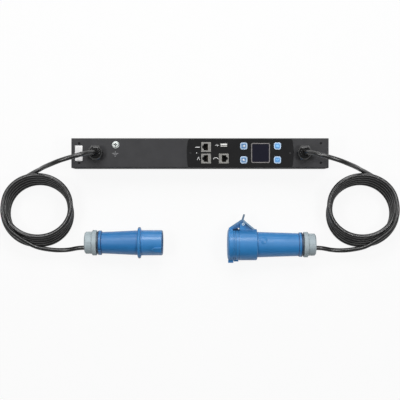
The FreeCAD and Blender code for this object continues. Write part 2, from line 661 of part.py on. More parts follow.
# Jacks stand on the module's board, with a stepped mouth for the latch
JACK_TOP = f"({BEZEL_TOP} + jack_proud)"
JACK_HEIGHT = f"({JACK_TOP} - {BOARD_TOP})"
MOUTH_DEPTH = "12.5"
for name, (along, across, notch) in jack_spots.items():
    shell = middle_box(f"{name}_shell", (along, across), "jack_size", "jack_size", BOARD_TOP, JACK_HEIGHT)
    steps = (("7.2", "jack_mouth", "0.35"), ("1.9", "6.4", "4.7"), ("1.5", "3.6", "6.2"))
    mouth = [
        middle_box(
            f"{name}_step_{n}", (f"{along} + {notch}*({offset})", across), f"{length} + 0.3", width,
            f"{JACK_TOP} - {MOUTH_DEPTH}", MOUTH_DEPTH
        )
        for n, (length, width, offset) in enumerate(steps)
    ]
    keep(cut(f"{name}_cut", shell, *mouth), name)
port_shell = middle_box("port_shell", port_spot, "port_length", "port_height", BOARD_TOP, JACK_HEIGHT)
port_hollow = middle_box(
    "port_hollow", port_spot, "port_length - 0.8", "port_height - 0.8", f"{JACK_TOP} - 12", "12"
)
tongue = middle_box(
    "port_tongue", (port_spot[0], f"{port_spot[1]} + 1.1"), "port_length - 2", "2.3",
    f"{JACK_TOP} - 12", "11.6"
)
keep(fuse("port", cut("port_open", port_shell, port_hollow), tongue), "usb_port")

# Display: raised frame, window and panel on the board
frame_block = middle_box(
    "frame_block", display_spot, "display_width", "display_height", "chassis_depth - 1", "bezel_proud + 1.6"
)
frame_hole = middle_box(
    "frame_hole", display_spot, "display_width - 2*display_rim", "display_height - 2*display_rim",
    "chassis_depth - 1", "bezel_proud + 1.6"
)
frame_outer = rounded("frame_outer", frame_block, "display_rim*1.8", upright)
frame_inner = rounded("frame_inner", frame_hole, "display_rim*0.8", upright)
keep(cut("frame", frame_outer, frame_inner), "display_frame")
window_block = middle_box(
    "window_block", display_spot, "display_width - 2*display_rim", "display_height - 2*display_rim",
    "chassis_depth - 1", "bezel_proud + 1.2"
)
keep(rounded("window", window_block, "display_rim*0.8", upright), "display_window")
panel = middle_box(
    "panel", display_spot, "display_width - 0.6", "display_height - 0.6",
    BOARD_TOP, f"chassis_depth - 1 - {BOARD_TOP}"
)
keep(panel, "display_panel")

# Push buttons: cap, retaining flange and stem over its switch
SWITCH_TOP = f"({BOARD_TOP} + switch_height + 1)"
switches = []
for name, spot in button_spots.items():
    cap_block = middle_box(
        f"{name}_block", spot, "button_size", "button_size",
        "chassis_depth - 1.2", "bezel_proud + button_proud + 1.2"
    )
    cap_round = rounded(f"{name}_round", cap_block, "button_corner", upright)
    top = number(f"{BEZEL_TOP} + button_proud")
    cap_soft = rounded(
        f"{name}_soft", cap_round, "0.5", lambda edge: all(abs(v.Point.z - top) < 1e-6 for v in edge.Vertexes)
    )
    flange = middle_box(
        f"{name}_flange", spot, "button_size + 1.6", "button_size + 1.6", "chassis_depth - 1.2", "1.2"
    )
    flange_round = rounded(f"{name}_flange_round", flange, "button_corner", upright)
    stem_base = f"{SWITCH_TOP} + button_travel + 0.2"
    stem = cylinder(f"{name}_stem", (*spot, stem_base), "2.4", f"chassis_depth - 1.2 - ({stem_base})")
    keep(fuse(f"{name}_cap", cap_soft, flange_round, stem), name)
    switch = middle_box(f"{name}_switch", spot, "switch_size", "switch_size", BOARD_TOP, "switch_height")
    plunger = cylinder(f"{name}_plunger", (*spot, f"{SWITCH_TOP} - 1"), "1.8", "1")
    switches.append(fuse(f"{name}_contact", switch, plunger))
keep(group("switch_set", *switches), "button_switches")

# Metering board on standoffs, with the current transformer under it
METER_BASE = "(wire_rise + sensor_radius)"
METER_LEFT = "-chassis_length/2 + meter_inset"
METER_TOP = f"({METER_BASE} + board_wall)"
meter_board = box(
    "meter_plate", (METER_LEFT, "-meter_width/2", METER_BASE), "meter_length", "meter_width", "board_wall"
)
meter_parts = [
    box(
        "meter_supply", (f"{METER_LEFT} + meter_length*0.1", "-meter_width*0.35", METER_TOP),
        "meter_length*0.28", "meter_width*0.6", "meter_part"
    ),
    box(
        "meter_socket", (f"{METER_LEFT} + meter_length*0.72", "-meter_width*0.3", METER_TOP),
        "meter_length*0.09", "meter_width*0.6", "meter_part*0.55"
    ),
    cylinder(
        "meter_capacitor", (f"{METER_LEFT} + meter_length*0.52", "meter_width*0.2", METER_TOP),
        "meter_width*0.16", "meter_part"
    ),
    cylinder(
        "meter_filter", (f"{METER_LEFT} + meter_length*0.52", "-meter_width*0.22", METER_TOP),
        "meter_width*0.12", "meter_part*0.75"
    ),
]
keep(fuse("meter_assembly", meter_board, *meter_parts), "metering_board")
standoffs = []
for n, (end, side) in enumerate(((0, -1), (0, 1), (1, -1), (1, 1))):
    along = f"{METER_LEFT} + standoff_inset + {end}*(meter_length - 2*standoff_inset)"
    across = f"{side}*(meter_width/2 - standoff_inset)"
    standoffs.append(
        cylinder(
            f"standoff_{n}", (along, across, "sheet_wall"), "standoff_radius", f"{METER_BASE} - sheet_wall"
        )
    )
keep(group("standoff_set", *standoffs), "board_standoffs")
sensor_block = middle_box(
    "sensor_block", (f"{METER_LEFT} + meter_length*0.48", "line_across"),
    "1.5*sensor_radius", "2*sensor_radius", "wire_rise - sensor_radius", "2*sensor_radius"
)
sensor_hole = cylinder(
    "sensor_hole", (f"{METER_LEFT} + meter_length*0.48 - 0.75*sensor_radius", "line_across", "wire_rise"),
    "wire_radius + 0.4", "1.5*sensor_radius", (0, 1, 0), 90
)
keep(cut("sensor", sensor_block, sensor_hole), "current_transformer")


def route_wire(points, word):
    edges = []
    radii = []
    here = points[0]
    for n in range(1, len(points) - 1):
        before = points[n] - points[n - 1]
        after = points[n + 1] - points[n]
        turn = before.getAngle(after)
        reach = 0.45 * min(before.Length, after.Length)
        radius = reach / math.tan(turn / 2)
        radii.append(round(radius, 1))
        start = points[n] - before.normalize() * reach
        finish = points[n] + after.normalize() * reach
        bisector = (finish - points[n]) + (start - points[n])
        bisector.normalize()
        middle = points[n] + bisector * (radius / math.cos(turn / 2) - radius)
        edges.append(Part.LineSegment(here, start).toShape())
        edges.append(Part.Arc(start, middle, finish).toShape())
        here = finish
    edges.append(Part.LineSegment(here, points[-1]).toShape())
    print(word, "bend radii", radii)
    return Part.Wire(edges)


def tube(node, points, radius):
    spine = route_wire(points, node)
    heading = points[1] - points[0]
    ring = Part.Wire([Part.makeCircle(radius, points[0], heading)])
    solid = spine.makePipeShell([ring], True, False)
    expected = math.pi * radius ** 2 * spine.Length
    print(node, "length", round(spine.Length, 1), "volume ratio", round(solid.Volume / expected, 4))
    item = doc.addObject("Part::Feature", node)
    item.Shape = solid
    keep(item, node)


# Three conductors from one cord to the other, fanned out on the rear cover
doc.recompute()
wire_radius = number("wire_radius")
gland_along = number("chassis_length/2 - gland_inset")
wire_rise = number("wire_rise")
seal_base = number(SEAL_BASE)
core_circle = number("core_circle")
core_fan = number("core_fan")
CORES = {
    "line_conductor": (90, number("line_across")),
    "neutral_conductor": (210, -number("neutral_across")),
    "earth_conductor": (330, -number("earth_across")),
}
for node, (clock, across) in CORES.items():
    core_along = core_circle * math.cos(math.radians(clock))
    core_across = core_circle * math.sin(math.radians(clock))
    half = [
        FreeCAD.Vector(-gland_along + core_along, core_across, seal_base),
        FreeCAD.Vector(-gland_along + core_along, core_across, seal_base * 0.58),
        FreeCAD.Vector(-gland_along + core_fan + core_along, across, wire_rise),
    ]
    other = [FreeCAD.Vector(-spot.x, spot.y, spot.z) for spot in reversed(half)]
    tube(node, half + other, wire_radius)

# Cord leads: out of the gland, over in an arch and down under the coil.
# Each point is its distance outward from the gland, across, and height over the gland mouth's height.
LEAD = [
    (0.0, 0.0, None), (0.0, 0.0, 1.058), (11.3, -2.3, 1.336), (30.7, -8.4, 1.500), (53.1, -15.7, 1.500),
    (72.1, -23.2, 1.336), (86.5, -27.6, 1.024), (98.6, -29.8, 0.642), (114.7, -34.2, 0.365),
    (136.0, -43.2, 0.195), (157.3, -59.3, 0.120), (169.5, -84.0, 0.090),
]
# Cord tails: off the coil's top turn and into the clamp nut.
# Each point is its distance outward from the clamp nut's rear, across from the cord there, and height
# over the height of the clamp nut's axis.
TAIL = [
    (112.3, 16.7, 1.300), (98.6, 7.9, 1.170), (86.5, 1.2, 0.996), (73.2, -2.4, 0.833), (52.6, -5.4, 0.707),
    (31.0, -4.7, 0.743), (14.6, -1.0, 0.940),
]
cord_radius = number("cord_radius")
mouth = number(MOUTH)
plug_axis = FreeCAD.Vector(number("plug_rear"), number("plug_across"), number("plug_collar_radius"))
CONNECTOR_REAR = "(connector_front + connector_ring + rim_width + nut_slit + nut_length)"
connector_axis = FreeCAD.Vector(number(CONNECTOR_REAR), number("connector_across"), number("connector_rise"))
cord_ends = (
    ("input", -1, plug_axis, number("plug_cable_offset")),
    ("output", 1, connector_axis, number("connector_cable_offset")),
)
for word, side, end, cable_offset in cord_ends:
    lead = [
        FreeCAD.Vector(side * (gland_along + out), across, seal_base if rise is None else rise * mouth)
        for out, across, rise in LEAD
    ]
    tube(f"{word}_cord_lead", lead, cord_radius)
    entry = end - FreeCAD.Vector(0, cable_offset, 0)
    tail = [
        FreeCAD.Vector(entry.x + side * out, entry.y + across, entry.z * rise)
        for out, across, rise in TAIL
    ]
    tail.append(entry + FreeCAD.Vector(side * 3.5, 0, 0))
    tail.append(entry - FreeCAD.Vector(side * number("cord_reach"), 0, 0))
    tube(f"{word}_cord_tail", tail, cord_radius)

# Leaning coil of each cord, one closed ring of the turns' outer shape
RING_SECTIONS = {
    "outer_low": ("110.8", "-108.5", "67.8", "61", "0"),
    "outer_high": ("104", "-91", "63", "58", "coil_height"),
    "inner_low": ("99.5", "-108.5", "50.5", "50.4", "0"),
    "inner_high": ("104", "-91", "54.9", "49.8", "coil_height"),
}
for word, side in (("input", -1), ("output", 1)):
    rings = {}
    for part, (out, across, wide, deep, rise) in RING_SECTIONS.items():
        ring = doc.addObject("Part::Ellipse", f"{word}_coil_{part}")
        bind(ring, MajorRadius=wide, MinorRadius=deep)
        place(ring, (f"{side}*(chassis_length/2 - gland_inset + {out})", across, rise))
        rings[part] = ring
    lofts = []
    for part in ("outer", "inner"):
        loft = doc.addObject("Part::Loft", f"{word}_coil_{part}")
        loft.Sections = [rings[part + "_low"], rings[part + "_high"]]
        loft.Solid = True
        loft.Ruled = True
        lofts.append(loft)
    keep(cut(f"{word}_coil_ring", *lofts), f"{word}_cord_coil")


# Clamp nut with six pads, and the seal in its mouth, shared by plug and connector
def clamp_nut(word, spot, angle, offset):
    nut = turned(f"{word}_nut", spot, [
        ("0", "nut_mouth"), ("0", "nut_radius - 2"), ("2", "nut_radius"), ("nut_ribs", "nut_radius"),
        ("nut_ribs", "nut_flange_radius - 0.8"), ("nut_ribs + 0.8", "nut_flange_radius"),
        ("nut_length - 0.8", "nut_flange_radius"), ("nut_length", "nut_flange_radius - 0.8"),
        ("nut_length", "spigot_radius"), ("9", "spigot_radius"), ("9", "nut_mouth + 1"),
        ("2", "nut_mouth + 1"), ("2", "nut_mouth"),
    ], (0, 0, 1), angle)
    groove = sketch(nut, f"{word}_nut_groove", "XY_Plane", "nut_radius - 0.9")
    rectangle(groove, ("nut_ribs/2", "0"), "nut_ribs", "1.4")
    groove_cut = pocket(nut, f"{word}_nut_groove_cut", groove, "3", back=True)
    ring = nut.newObject("PartDesign::PolarPattern", f"{word}_nut_grooves")
    ring.Originals = [groove_cut]
    ring.Axis = (next(f for f in nut.Origin.OriginFeatures if f.Role == "X_Axis"), [""])
    ring.Angle = 360
    ring.Occurrences = 6
    nut.Tip = ring
    keep(nut, f"{word}_clamp_nut")
    seal = turned(f"{word}_seal", spot, [
        ("2", "0"), ("2", "nut_mouth + 1"), ("9", "nut_mouth + 1"), ("9", "0"),
    ], (0, 0, 1), angle)
    hole = sketch(seal, f"{word}_seal_hole", "YZ_Plane")
    circle(hole, (f"{offset}*{word}_cable_offset", "0"), "cord_radius")
    pocket(seal, f"{word}_seal_cut", hole, "12", back=True)
    keep(seal, f"{word}_cable_seal")


# Handle with its ring and threaded rear end
def handle(word, spot, angle, length, rear_radius, front_radius):
    ring_start = "nut_length + nut_slit"
    ring_end = "nut_length + nut_slit + rim_width"
    return turned(f"{word}_grip", spot, [
        ("9", "spigot_radius - 2.5"), ("9", "spigot_radius"), (ring_start, "spigot_radius"),
        (ring_start, "rim_radius - 0.7"), (f"{ring_start} + 0.7", "rim_radius"),
        (f"{ring_end} - 0.7", "rim_radius"), (ring_end, "rim_radius - 0.7"), (ring_end, rear_radius),
        (length, front_radius), (length, "tenon_radius + 0.1"),
        (f"{length} - tenon_reach - 1", "tenon_radius + 0.1"), (f"{length} - tenon_reach - 3", "core_radius"),
        (f"{ring_end} + 9", "15.8"), (f"{ring_end} + 3", "spigot_radius - 2.5"),
    ], (0, 0, 1), angle)


PLUG_SPOT = ("plug_rear", "plug_across", "plug_collar_radius")
clamp_nut("plug", PLUG_SPOT, 0, -1)
plug_grip = handle("plug", PLUG_SPOT, 0, "plug_collar_start", "plug_grip_rear", "plug_grip_front")
thumb = doc.addObject("Part::Sphere", "thumb_rest")
bind(thumb, Radius="12")
place(thumb, ("plug_rear + 65.6", "plug_across + 12.6", "plug_collar_radius + 28.4"))
LOCK_TURN = 31
lock_reach = ("(rim_radius - 2)*sin(31)", "(rim_radius - 2)*cos(31)")
lock_hole = cylinder(
    "lock_hole",
    ("plug_rear + nut_length + nut_slit + rim_width - 2.6", f"plug_across - {lock_reach[0]}",
     f"plug_collar_radius + {lock_reach[1]}"),
    "1.8", "4", (1, 0, 0), LOCK_TURN
)
keep(cut("plug_grip_cut", plug_grip, thumb, lock_hole), "plug_handle")

# Plug collar with its tenon in the handle
COLLAR_END = "plug_collar_start + plug_collar_width"
SHROUD_START = "plug_collar_start + collar_depth"
collar = turned("collar", PLUG_SPOT, [
    ("plug_collar_start - tenon_reach", "core_radius"), ("plug_collar_start - tenon_reach", "tenon_radius"),
    ("plug_collar_start", "tenon_radius"),
    ("plug_collar_start", "plug_collar_radius - collar_round"),
    ("plug_collar_start + collar_round*0.293", "plug_collar_radius - collar_round*0.293"),
    ("plug_collar_start + collar_round", "plug_collar_radius"),
    (f"{COLLAR_END} - collar_round", "plug_collar_radius"),
    (f"{COLLAR_END} - collar_round*0.293", "plug_collar_radius - collar_round*0.293"),
    (COLLAR_END, "plug_collar_radius - collar_round"),
    (COLLAR_END, "shroud_radius"), (SHROUD_START, "shroud_radius"), (SHROUD_START, "core_radius"),
])
keep(collar, "plug_collar")

# Plug shroud with its key, turned about its axis with the insert and pins
shroud = turned("shroud", PLUG_SPOT, [
    (SHROUD_START, "shroud_radius - shroud_wall"), (SHROUD_START, "shroud_radius"),
    ("plug_length - shroud_round", "shroud_radius"),
    ("plug_length - shroud_round*0.617", "shroud_radius - shroud_round*0.076"),
    ("plug_length - shroud_round*0.293", "shroud_radius - shroud_round*0.293"),
    ("plug_length - shroud_round*0.076", "shroud_radius - shroud_round*0.617"),
    ("plug_length", "shroud_radius - shroud_round"), ("plug_length", "shroud_radius - shroud_wall"),
], (1, 0, 0), 30)
bind(shroud, **{"Placement.Rotation.Angle": "key_turn"})
key = sketch(shroud, "key_outline", "XY_Plane", "shroud_radius - 1")
outline(key, [
    ("plug_length - 18", "-1"), ("plug_length - 18", "1"), ("plug_length - 13", "4.2"),
    ("plug_length - 2.2", "4.2"), ("plug_length - 2.2", "-4.2"), ("plug_length - 13", "-4.2"),
])
pad(shroud, "key_pad", key, "3.2")
keep(shroud, "plug_shroud")
plug_face = turned("plug_face", PLUG_SPOT, [
    ("plug_collar_start - 6", "0"), ("plug_collar_start - 6", "core_radius"), (SHROUD_START, "core_radius"),
    (SHROUD_START, "shroud_radius - shroud_wall - 0.3"),
    (f"{SHROUD_START} + 3", "shroud_radius - shroud_wall - 0.3"), (f"{SHROUD_START} + 3", "0"),
], (1, 0, 0), 30)
bind(plug_face, **{"Placement.Rotation.Angle": "key_turn"})
pin_holes = sketch(plug_face, "pin_holes", "YZ_Plane", f"{SHROUD_START} + 3")
PIN_PLACES = (
    ("0", "pin_circle", "earth_pin_radius"),
    ("-pin_circle*sin(120)", "pin_circle*cos(120)", "pin_radius"),
    ("pin_circle*sin(120)", "pin_circle*cos(120)", "pin_radius"),
)
for across, up, radius in PIN_PLACES:
    circle(pin_holes, (across, up), radius)
pocket(plug_face, "pin_hole_pocket", pin_holes, "30")
keep(plug_face, "plug_insert")
pin_solids = []
for n, (across, up, radius) in enumerate(PIN_PLACES):
    reach = "plug_length - 3" if n else "plug_length - 1.5"
    along = "plug_collar_start - 10"
    turn_y = f"({across})*cos(key_turn) - ({up})*sin(key_turn)"
    turn_z = f"({across})*sin(key_turn) + ({up})*cos(key_turn)"
    spot = (f"plug_rear + {along}", f"plug_across + {turn_y}", f"plug_collar_radius + {turn_z}")
    rod = cylinder(f"pin_rod_{n}", spot, radius, f"{reach} - ({along}) - 1.2", (0, 1, 0), 90)
    tip_spot = (f"plug_rear + {reach} - 1.2", spot[1], spot[2])
    tip = cone(f"pin_tip_{n}", tip_spot, radius, f"{radius} - 0.9", "1.2", (0, 1, 0), 90)
    pin_solids.append(fuse(f"pin_{n}", rod, tip))
keep(group("pin_set", *pin_solids), "plug_pins")

# Connector: clamp nut, handle, socket housing with hinge bracket
CONNECTOR_SPOT = (CONNECTOR_REAR, "connector_across", "connector_rise")
FRONT_SPOT = ("connector_front", "connector_across", "connector_rise")
clamp_nut("connector", CONNECTOR_SPOT, 180, 1)
grip_length = "nut_length + nut_slit + rim_width + connector_ring - housing_end - 0.3"
keep(
    handle("connector", CONNECTOR_SPOT, 180, grip_length, "connector_grip_rear", "connector_grip_front"),
    "connector_handle"
)
SOCKET_FRONT = "(lid_depth + lid_gap)"
socket_wall = turned("socket_wall", FRONT_SPOT, [
    (SOCKET_FRONT, "housing_bore"), (SOCKET_FRONT, "lid_radius - 0.6"),
    (f"{SOCKET_FRONT} + 0.6", "lid_radius"),
    (f"{SOCKET_FRONT} + 3", "lid_radius"), (f"{SOCKET_FRONT} + 3", "lid_radius - 1.2"),
    (f"{SOCKET_FRONT} + 3.8", "lid_radius - 1.2"), (f"{SOCKET_FRONT} + 3.8", "lid_radius"),
    (f"{SOCKET_FRONT} + 8.4", "lid_radius"), (f"{SOCKET_FRONT} + 8.4", "housing_radius - 0.6"),
    (f"{SOCKET_FRONT} + 9.3", "housing_radius - 0.6"), (f"{SOCKET_FRONT} + 9.3", "housing_radius"),
    ("housing_end - 1", "housing_radius"), ("housing_end", "housing_radius - 1"),
    ("housing_end", "tenon_radius"),
    ("housing_end + tenon_reach", "tenon_radius"), ("housing_end + tenon_reach", "core_radius"),
    ("housing_end - 5", "core_radius"),
    ("housing_end - 5", "housing_bore"),
])
lug = sketch(socket_wall, "lug_outline", "XZ_Plane", "housing_bore + 1")
rectangle(lug, (f"{SOCKET_FRONT} + 4.5", "0"), "7.8", "11")
pad(socket_wall, "lug_pad", lug, "lid_radius + 1.1 - housing_bore - 1")
cheek_corners = [
    ("21.2", "24.2"), ("22.4", "hinge_above + 2.6"), ("25.4", "hinge_above + 6"),
    ("hinge_along + 2.8", "hinge_above + 6"), ("housing_end - 1", "25.2"), ("housing_end - 1", "24.2"),
]
for word, side in SIDES:
    cheek = sketch(socket_wall, f"cheek_{word}", "XY_Plane", f"{side}*(hinge_arm + 0.4)")
    outline(cheek, cheek_corners)
    pad(socket_wall, f"cheek_pad_{word}", cheek, "hinge_cheek", back=side < 0)
    hollow = sketch(socket_wall, f"hollow_{word}", "XY_Plane", f"{side}*(hinge_arm + 0.4 + hinge_cheek)")
    outline(hollow, [
        ("hinge_along + 4.8", "hinge_above + 0.5"), ("44.3", "26.8"), ("hinge_along + 4.8", "26.8"),
    ])
    pocket(socket_wall, f"hollow_pocket_{word}", hollow, "cheek_recess", back=side < 0)
pin_bore = sketch(socket_wall, "pin_bore", "XY_Plane", "-(hinge_arm + hinge_cheek + 1)")
circle(pin_bore, ("hinge_along", "hinge_above"), "hinge_pin_radius")
pocket(socket_wall, "pin_bore_pocket", pin_bore, "2*(hinge_arm + hinge_cheek + 1)", back=True)
keep(socket_wall, "connector_housing")

contact_block = turned("contact_block", FRONT_SPOT, [
    (f"{SOCKET_FRONT} + 2", "0"), (f"{SOCKET_FRONT} + 2", "insert_front_radius - 0.8"),
    (f"{SOCKET_FRONT} + 2.8", "insert_front_radius"), ("housing_end - 5", "insert_front_radius"),
    ("housing_end - 5", "core_radius"), ("housing_end + 7", "core_radius"), ("housing_end + 7", "0"),
])
contact_holes = sketch(contact_block, "contact_holes", "YZ_Plane", f"{SOCKET_FRONT} + 2")
CONTACT_PLACES = (
    ("-pin_circle", "0", "earth_pin_radius"),
    ("pin_circle*cos(60)", "pin_circle*sin(60)", "pin_radius"),
    ("pin_circle*cos(60)", "-pin_circle*sin(60)", "pin_radius"),
)
for across, up, radius in CONTACT_PLACES:
    circle(contact_holes, (across, up), f"{radius} + 0.3")
pocket(contact_block, "contact_hole_pocket", contact_holes, "34", back=True)
contact_seats = sketch(contact_block, "contact_seats", "YZ_Plane", f"{SOCKET_FRONT} + 6")
for across, up, radius in CONTACT_PLACES:
    circle(contact_seats, (across, up), f"{radius} + 1.4")
pocket(contact_block, "contact_seat_pocket", contact_seats, "32", back=True)
keep(contact_block, "connector_insert")
sleeves = []
for n, (across, up, radius) in enumerate(CONTACT_PLACES):
    spot = (
        f"connector_front + {SOCKET_FRONT} + 6", f"connector_across + {across}", f"connector_rise + {up}"
    )
    sleeve = cylinder(f"sleeve_blank_{n}", spot, f"{radius} + 1.4", "32", (0, 1, 0), 90)
    sleeve_bore = cylinder(f"sleeve_bore_{n}", spot, f"{radius} + 0.3", "26", (0, 1, 0), 90)
    sleeves.append(cut(f"sleeve_{n}", sleeve, sleeve_bore))
keep(group("sleeve_set", *sleeves), "connector_contacts")

# Spring lid with its arm, thumb tab and catch
lid = turned("lid", FRONT_SPOT, [
    ("0", "0"), ("0", "17"), ("0.5", "23"), ("1.6", "lid_radius - 1.6"), ("3.2", "lid_radius"),
    ("lid_depth", "lid_radius"), ("lid_depth", "lid_radius - 3.6"), ("3.4", "lid_radius - 3.6"), ("3.4", "0"),
])
catch = sketch(lid, "catch_outline", "XZ_Plane", "lid_radius - 3")
rectangle(catch, ("(lid_depth + 1.6)/2", "0"), "lid_depth - 1.6", "12")
pad(lid, "catch_pad", catch, "6.5")
arm = sketch(lid, "arm_outline", "XY_Plane")
outline(arm, [
    ("3.2", "lid_radius - 3"), ("lid_depth", "lid_radius - 3"), ("lid_depth", "lid_radius + 1.4"),
    ("hinge_along - 7.4", "hinge_above - 2.2"), ("hinge_along - 4.2", "hinge_above - 4.6"),
    ("hinge_along + 2.6", "hinge_above - 4.8"),
    ("hinge_along + 5", "hinge_above - 1.4"), ("hinge_along + 5", "hinge_above + 2.6"),
    ("hinge_along + 1.9", "hinge_above + 7.4"), ("hinge_along - 3.4", "hinge_above + 7.4"),
    ("2.8", "lid_radius + 1.2"), ("2.8", "lid_radius - 0.8"),
])
pad(lid, "arm_pad", arm, "2*hinge_arm", both=True)
tab = sketch(lid, "tab_outline", "XY_Plane")
outline(tab, [
    ("hinge_along - 2.8", "hinge_above + 6.4"), ("hinge_along + 0.6", "hinge_above + 6.4"),
    ("hinge_along + 3.4", "hinge_above + 16.2"), ("hinge_along + 2.6", "hinge_above + 17.2"),
    ("hinge_along + 0.8", "hinge_above + 17.2"),
])
pad(lid, "tab_pad", tab, "9", both=True)
arm_bore = sketch(lid, "arm_bore", "XY_Plane", "-hinge_arm - 1")
circle(arm_bore, ("hinge_along", "hinge_above"), "hinge_pin_radius + 0.3")
pocket(lid, "arm_bore_pocket", arm_bore, "2*hinge_arm + 2", back=True)
spring_room = sketch(lid, "spring_room", "XY_Plane", "-2.8")
outline(spring_room, [
    ("hinge_along - 3.9", "hinge_above - 8"), ("hinge_along + 8", "hinge_above - 8"),
    ("hinge_along + 8", "hinge_above + 4"), ("hinge_along - 3.9", "hinge_above + 4"),
])
pocket(lid, "spring_room_pocket", spring_room, "5.6", back=True)
keep(lid, "connector_lid")
gasket = turned("gasket", FRONT_SPOT, [
    ("3.4", "lid_radius - 8"), ("3.4", "lid_radius - 3.6"), ("lid_depth", "lid_radius - 3.6"),
    ("lid_depth", "lid_radius - 8"),
])
keep(gasket, "lid_gasket")
hinge_spot = ("connector_front + hinge_along", "connector_across + hinge_above")
PIN_BASE = "connector_rise - hinge_arm - hinge_cheek - 0.8"
pin_shaft = cylinder(
    "hinge_shaft", (*hinge_spot, PIN_BASE), "hinge_pin_radius", "2*hinge_arm + 2*hinge_cheek + 1.6"
)
pin_head = cylinder(
    "hinge_head", (*hinge_spot, "connector_rise + hinge_arm + 0.4 + hinge_cheek"),
    "hinge_pin_radius + 0.9", "0.8"
)
keep(fuse("hinge_rivet", pin_shaft, pin_head), "lid_hinge_pin")

# Torsion spring on the pin, with one leg on the housing
COIL_TURNS = 4
spring_wire = 0.5
coil_radius = number("hinge_pin_radius") + 0.35 + spring_wire
pitch = 1.15
helix = Part.makeHelix(pitch, pitch * COIL_TURNS, coil_radius)
start = helix.Vertexes[0].Point
profile = Part.Wire([Part.makeCircle(spring_wire, start, FreeCAD.Vector(0, 1, 0))])
coil_solid = Part.Wire(helix.Edges).makePipeShell([profile], True, True)
leg_drop = number("hinge_above - housing_radius") - 0.1
leg = Part.makeCylinder(spring_wire, leg_drop, start, FreeCAD.Vector(0, -1, 0))
spring_solid = coil_solid.fuse(leg).removeSplitter()
spring_solid.translate(FreeCAD.Vector(
    number(hinge_spot[0]), number(hinge_spot[1]), number("connector_rise") - pitch * COIL_TURNS / 2
))
spring = doc.addObject("Part::Feature", "spring")
spring.Shape = spring_solid
keep(spring, "lid_spring")

doc.recompute()
faults = [item.Label for item in doc.Objects if "Invalid" in item.State or "Error" in item.State]
for item in nodes:
    if item.Shape.isNull() or not item.Shape.isValid() or not item.Shape.Solids:
        faults.append(item.Label)
if faults:
    raise RuntimeError(f"faulty objects: {faults}")
for item in nodes:
    item.Shape.exportStep(f"parts/{item.Label}.step")
    span = item.Shape.BoundBox
    print(
        f"{item.Label}: solids {len(item.Shape.Solids)} volume {item.Shape.Volume:.1f}"
        f" x {span.XMin:.1f}..{span.XMax:.1f} y {span.YMin:.1f}..{span.YMax:.1f}"
        f" z {span.ZMin:.1f}..{span.ZMax:.1f}"
    )
print("sub-parts", len(nodes))
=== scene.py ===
import bmesh
import bpy
import numpy as np
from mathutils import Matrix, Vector


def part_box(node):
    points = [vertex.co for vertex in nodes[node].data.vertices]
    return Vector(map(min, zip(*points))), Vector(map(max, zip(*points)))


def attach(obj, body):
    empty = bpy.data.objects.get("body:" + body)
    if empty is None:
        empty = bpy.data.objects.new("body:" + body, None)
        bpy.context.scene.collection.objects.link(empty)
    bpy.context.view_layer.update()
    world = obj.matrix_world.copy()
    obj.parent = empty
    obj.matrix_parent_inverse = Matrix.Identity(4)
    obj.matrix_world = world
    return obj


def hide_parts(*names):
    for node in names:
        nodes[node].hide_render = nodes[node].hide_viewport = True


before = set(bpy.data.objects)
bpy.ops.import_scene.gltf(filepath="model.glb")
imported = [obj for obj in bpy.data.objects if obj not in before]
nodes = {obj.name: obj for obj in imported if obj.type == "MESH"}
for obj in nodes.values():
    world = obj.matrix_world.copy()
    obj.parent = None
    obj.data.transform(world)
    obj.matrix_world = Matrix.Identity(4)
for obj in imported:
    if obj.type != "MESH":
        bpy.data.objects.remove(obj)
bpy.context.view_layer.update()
scene = bpy.context.scene
scene.view_settings.view_transform = "Standard"
mm = 0.001
print("frame loaded:", len(nodes), "nodes")

# Shared by all pieces: welding distances in metres, spans and detail of the noise patterns
meshSet = {"weld": 1e-7, "thin": 1e-8, "sharpest": 0.02 * mm}
surfaceSet = {
    "cloudSpan": (0.3, 0.7), "lineSpan": (0.25, 0.75), "wornSpan": (0.86, 0.995), "bevelRays": 8,
    "cloudDetail": 4.0, "grainDetail": 2.0, "lineDetail": 3.0, "skinBump": 0.6, "metalBump": 0.5,
    "coatRough": 0.25}


def tone(red, green, blue):  # screen colour 0-255 to a linear colour, by the sRGB curve
    value = np.array([red, green, blue]) / 255.0
    linear = np.where(value <= 0.04045, value / 12.92, ((value + 0.055) / 1.055) ** 2.4)
    return (*[float(v) for v in linear], 1.0)


def grey(level):  # a linear grey
    return (level, level, level, 1.0)


def planMiddle(low, high):  # middle of a box seen from above
    return (low[0] + high[0]) / 2, (low[1] + high[1]) / 2


def pieceFromGrids(name, grids, angle=35):
    # Each grid[i, j] is a surface point at step i along and j around; the last column joins the first.
    # Rows that shrink to one point close the ends; doubles are merged and normals turned outwards.
    # Faces that meet below the angle are shaded as one.
    mesh = bpy.data.meshes.new(name)
    spots, quads, first = [], [], 0
    for grid in grids:
        rows, columns = grid.shape[:2]
        index = np.arange(rows * columns).reshape(rows, columns) + first
        index = np.concatenate([index, index[:, :1]], axis=1)
        corners = [index[:-1, :-1], index[:-1, 1:], index[1:, 1:], index[1:, :-1]]
        quads.append(np.stack(corners, axis=-1).reshape(-1, 4))
        spots.append(grid.reshape(-1, 3))
        first += rows * columns
    mesh.from_pydata(np.concatenate(spots).tolist(), [], np.concatenate(quads).tolist())
    work = bmesh.new()
    work.from_mesh(mesh)
    bmesh.ops.remove_doubles(work, verts=work.verts, dist=meshSet["weld"])
    bmesh.ops.dissolve_degenerate(work, edges=work.edges, dist=meshSet["thin"])
    bmesh.ops.recalc_face_normals(work, faces=work.faces)
    work.to_mesh(mesh)
    work.free()
    piece = bpy.data.objects.new(name, mesh)
    scene.collection.objects.link(piece)
    mesh.shade_smooth()
    mesh.set_sharp_from_angle(angle=np.radians(angle))
    return piece


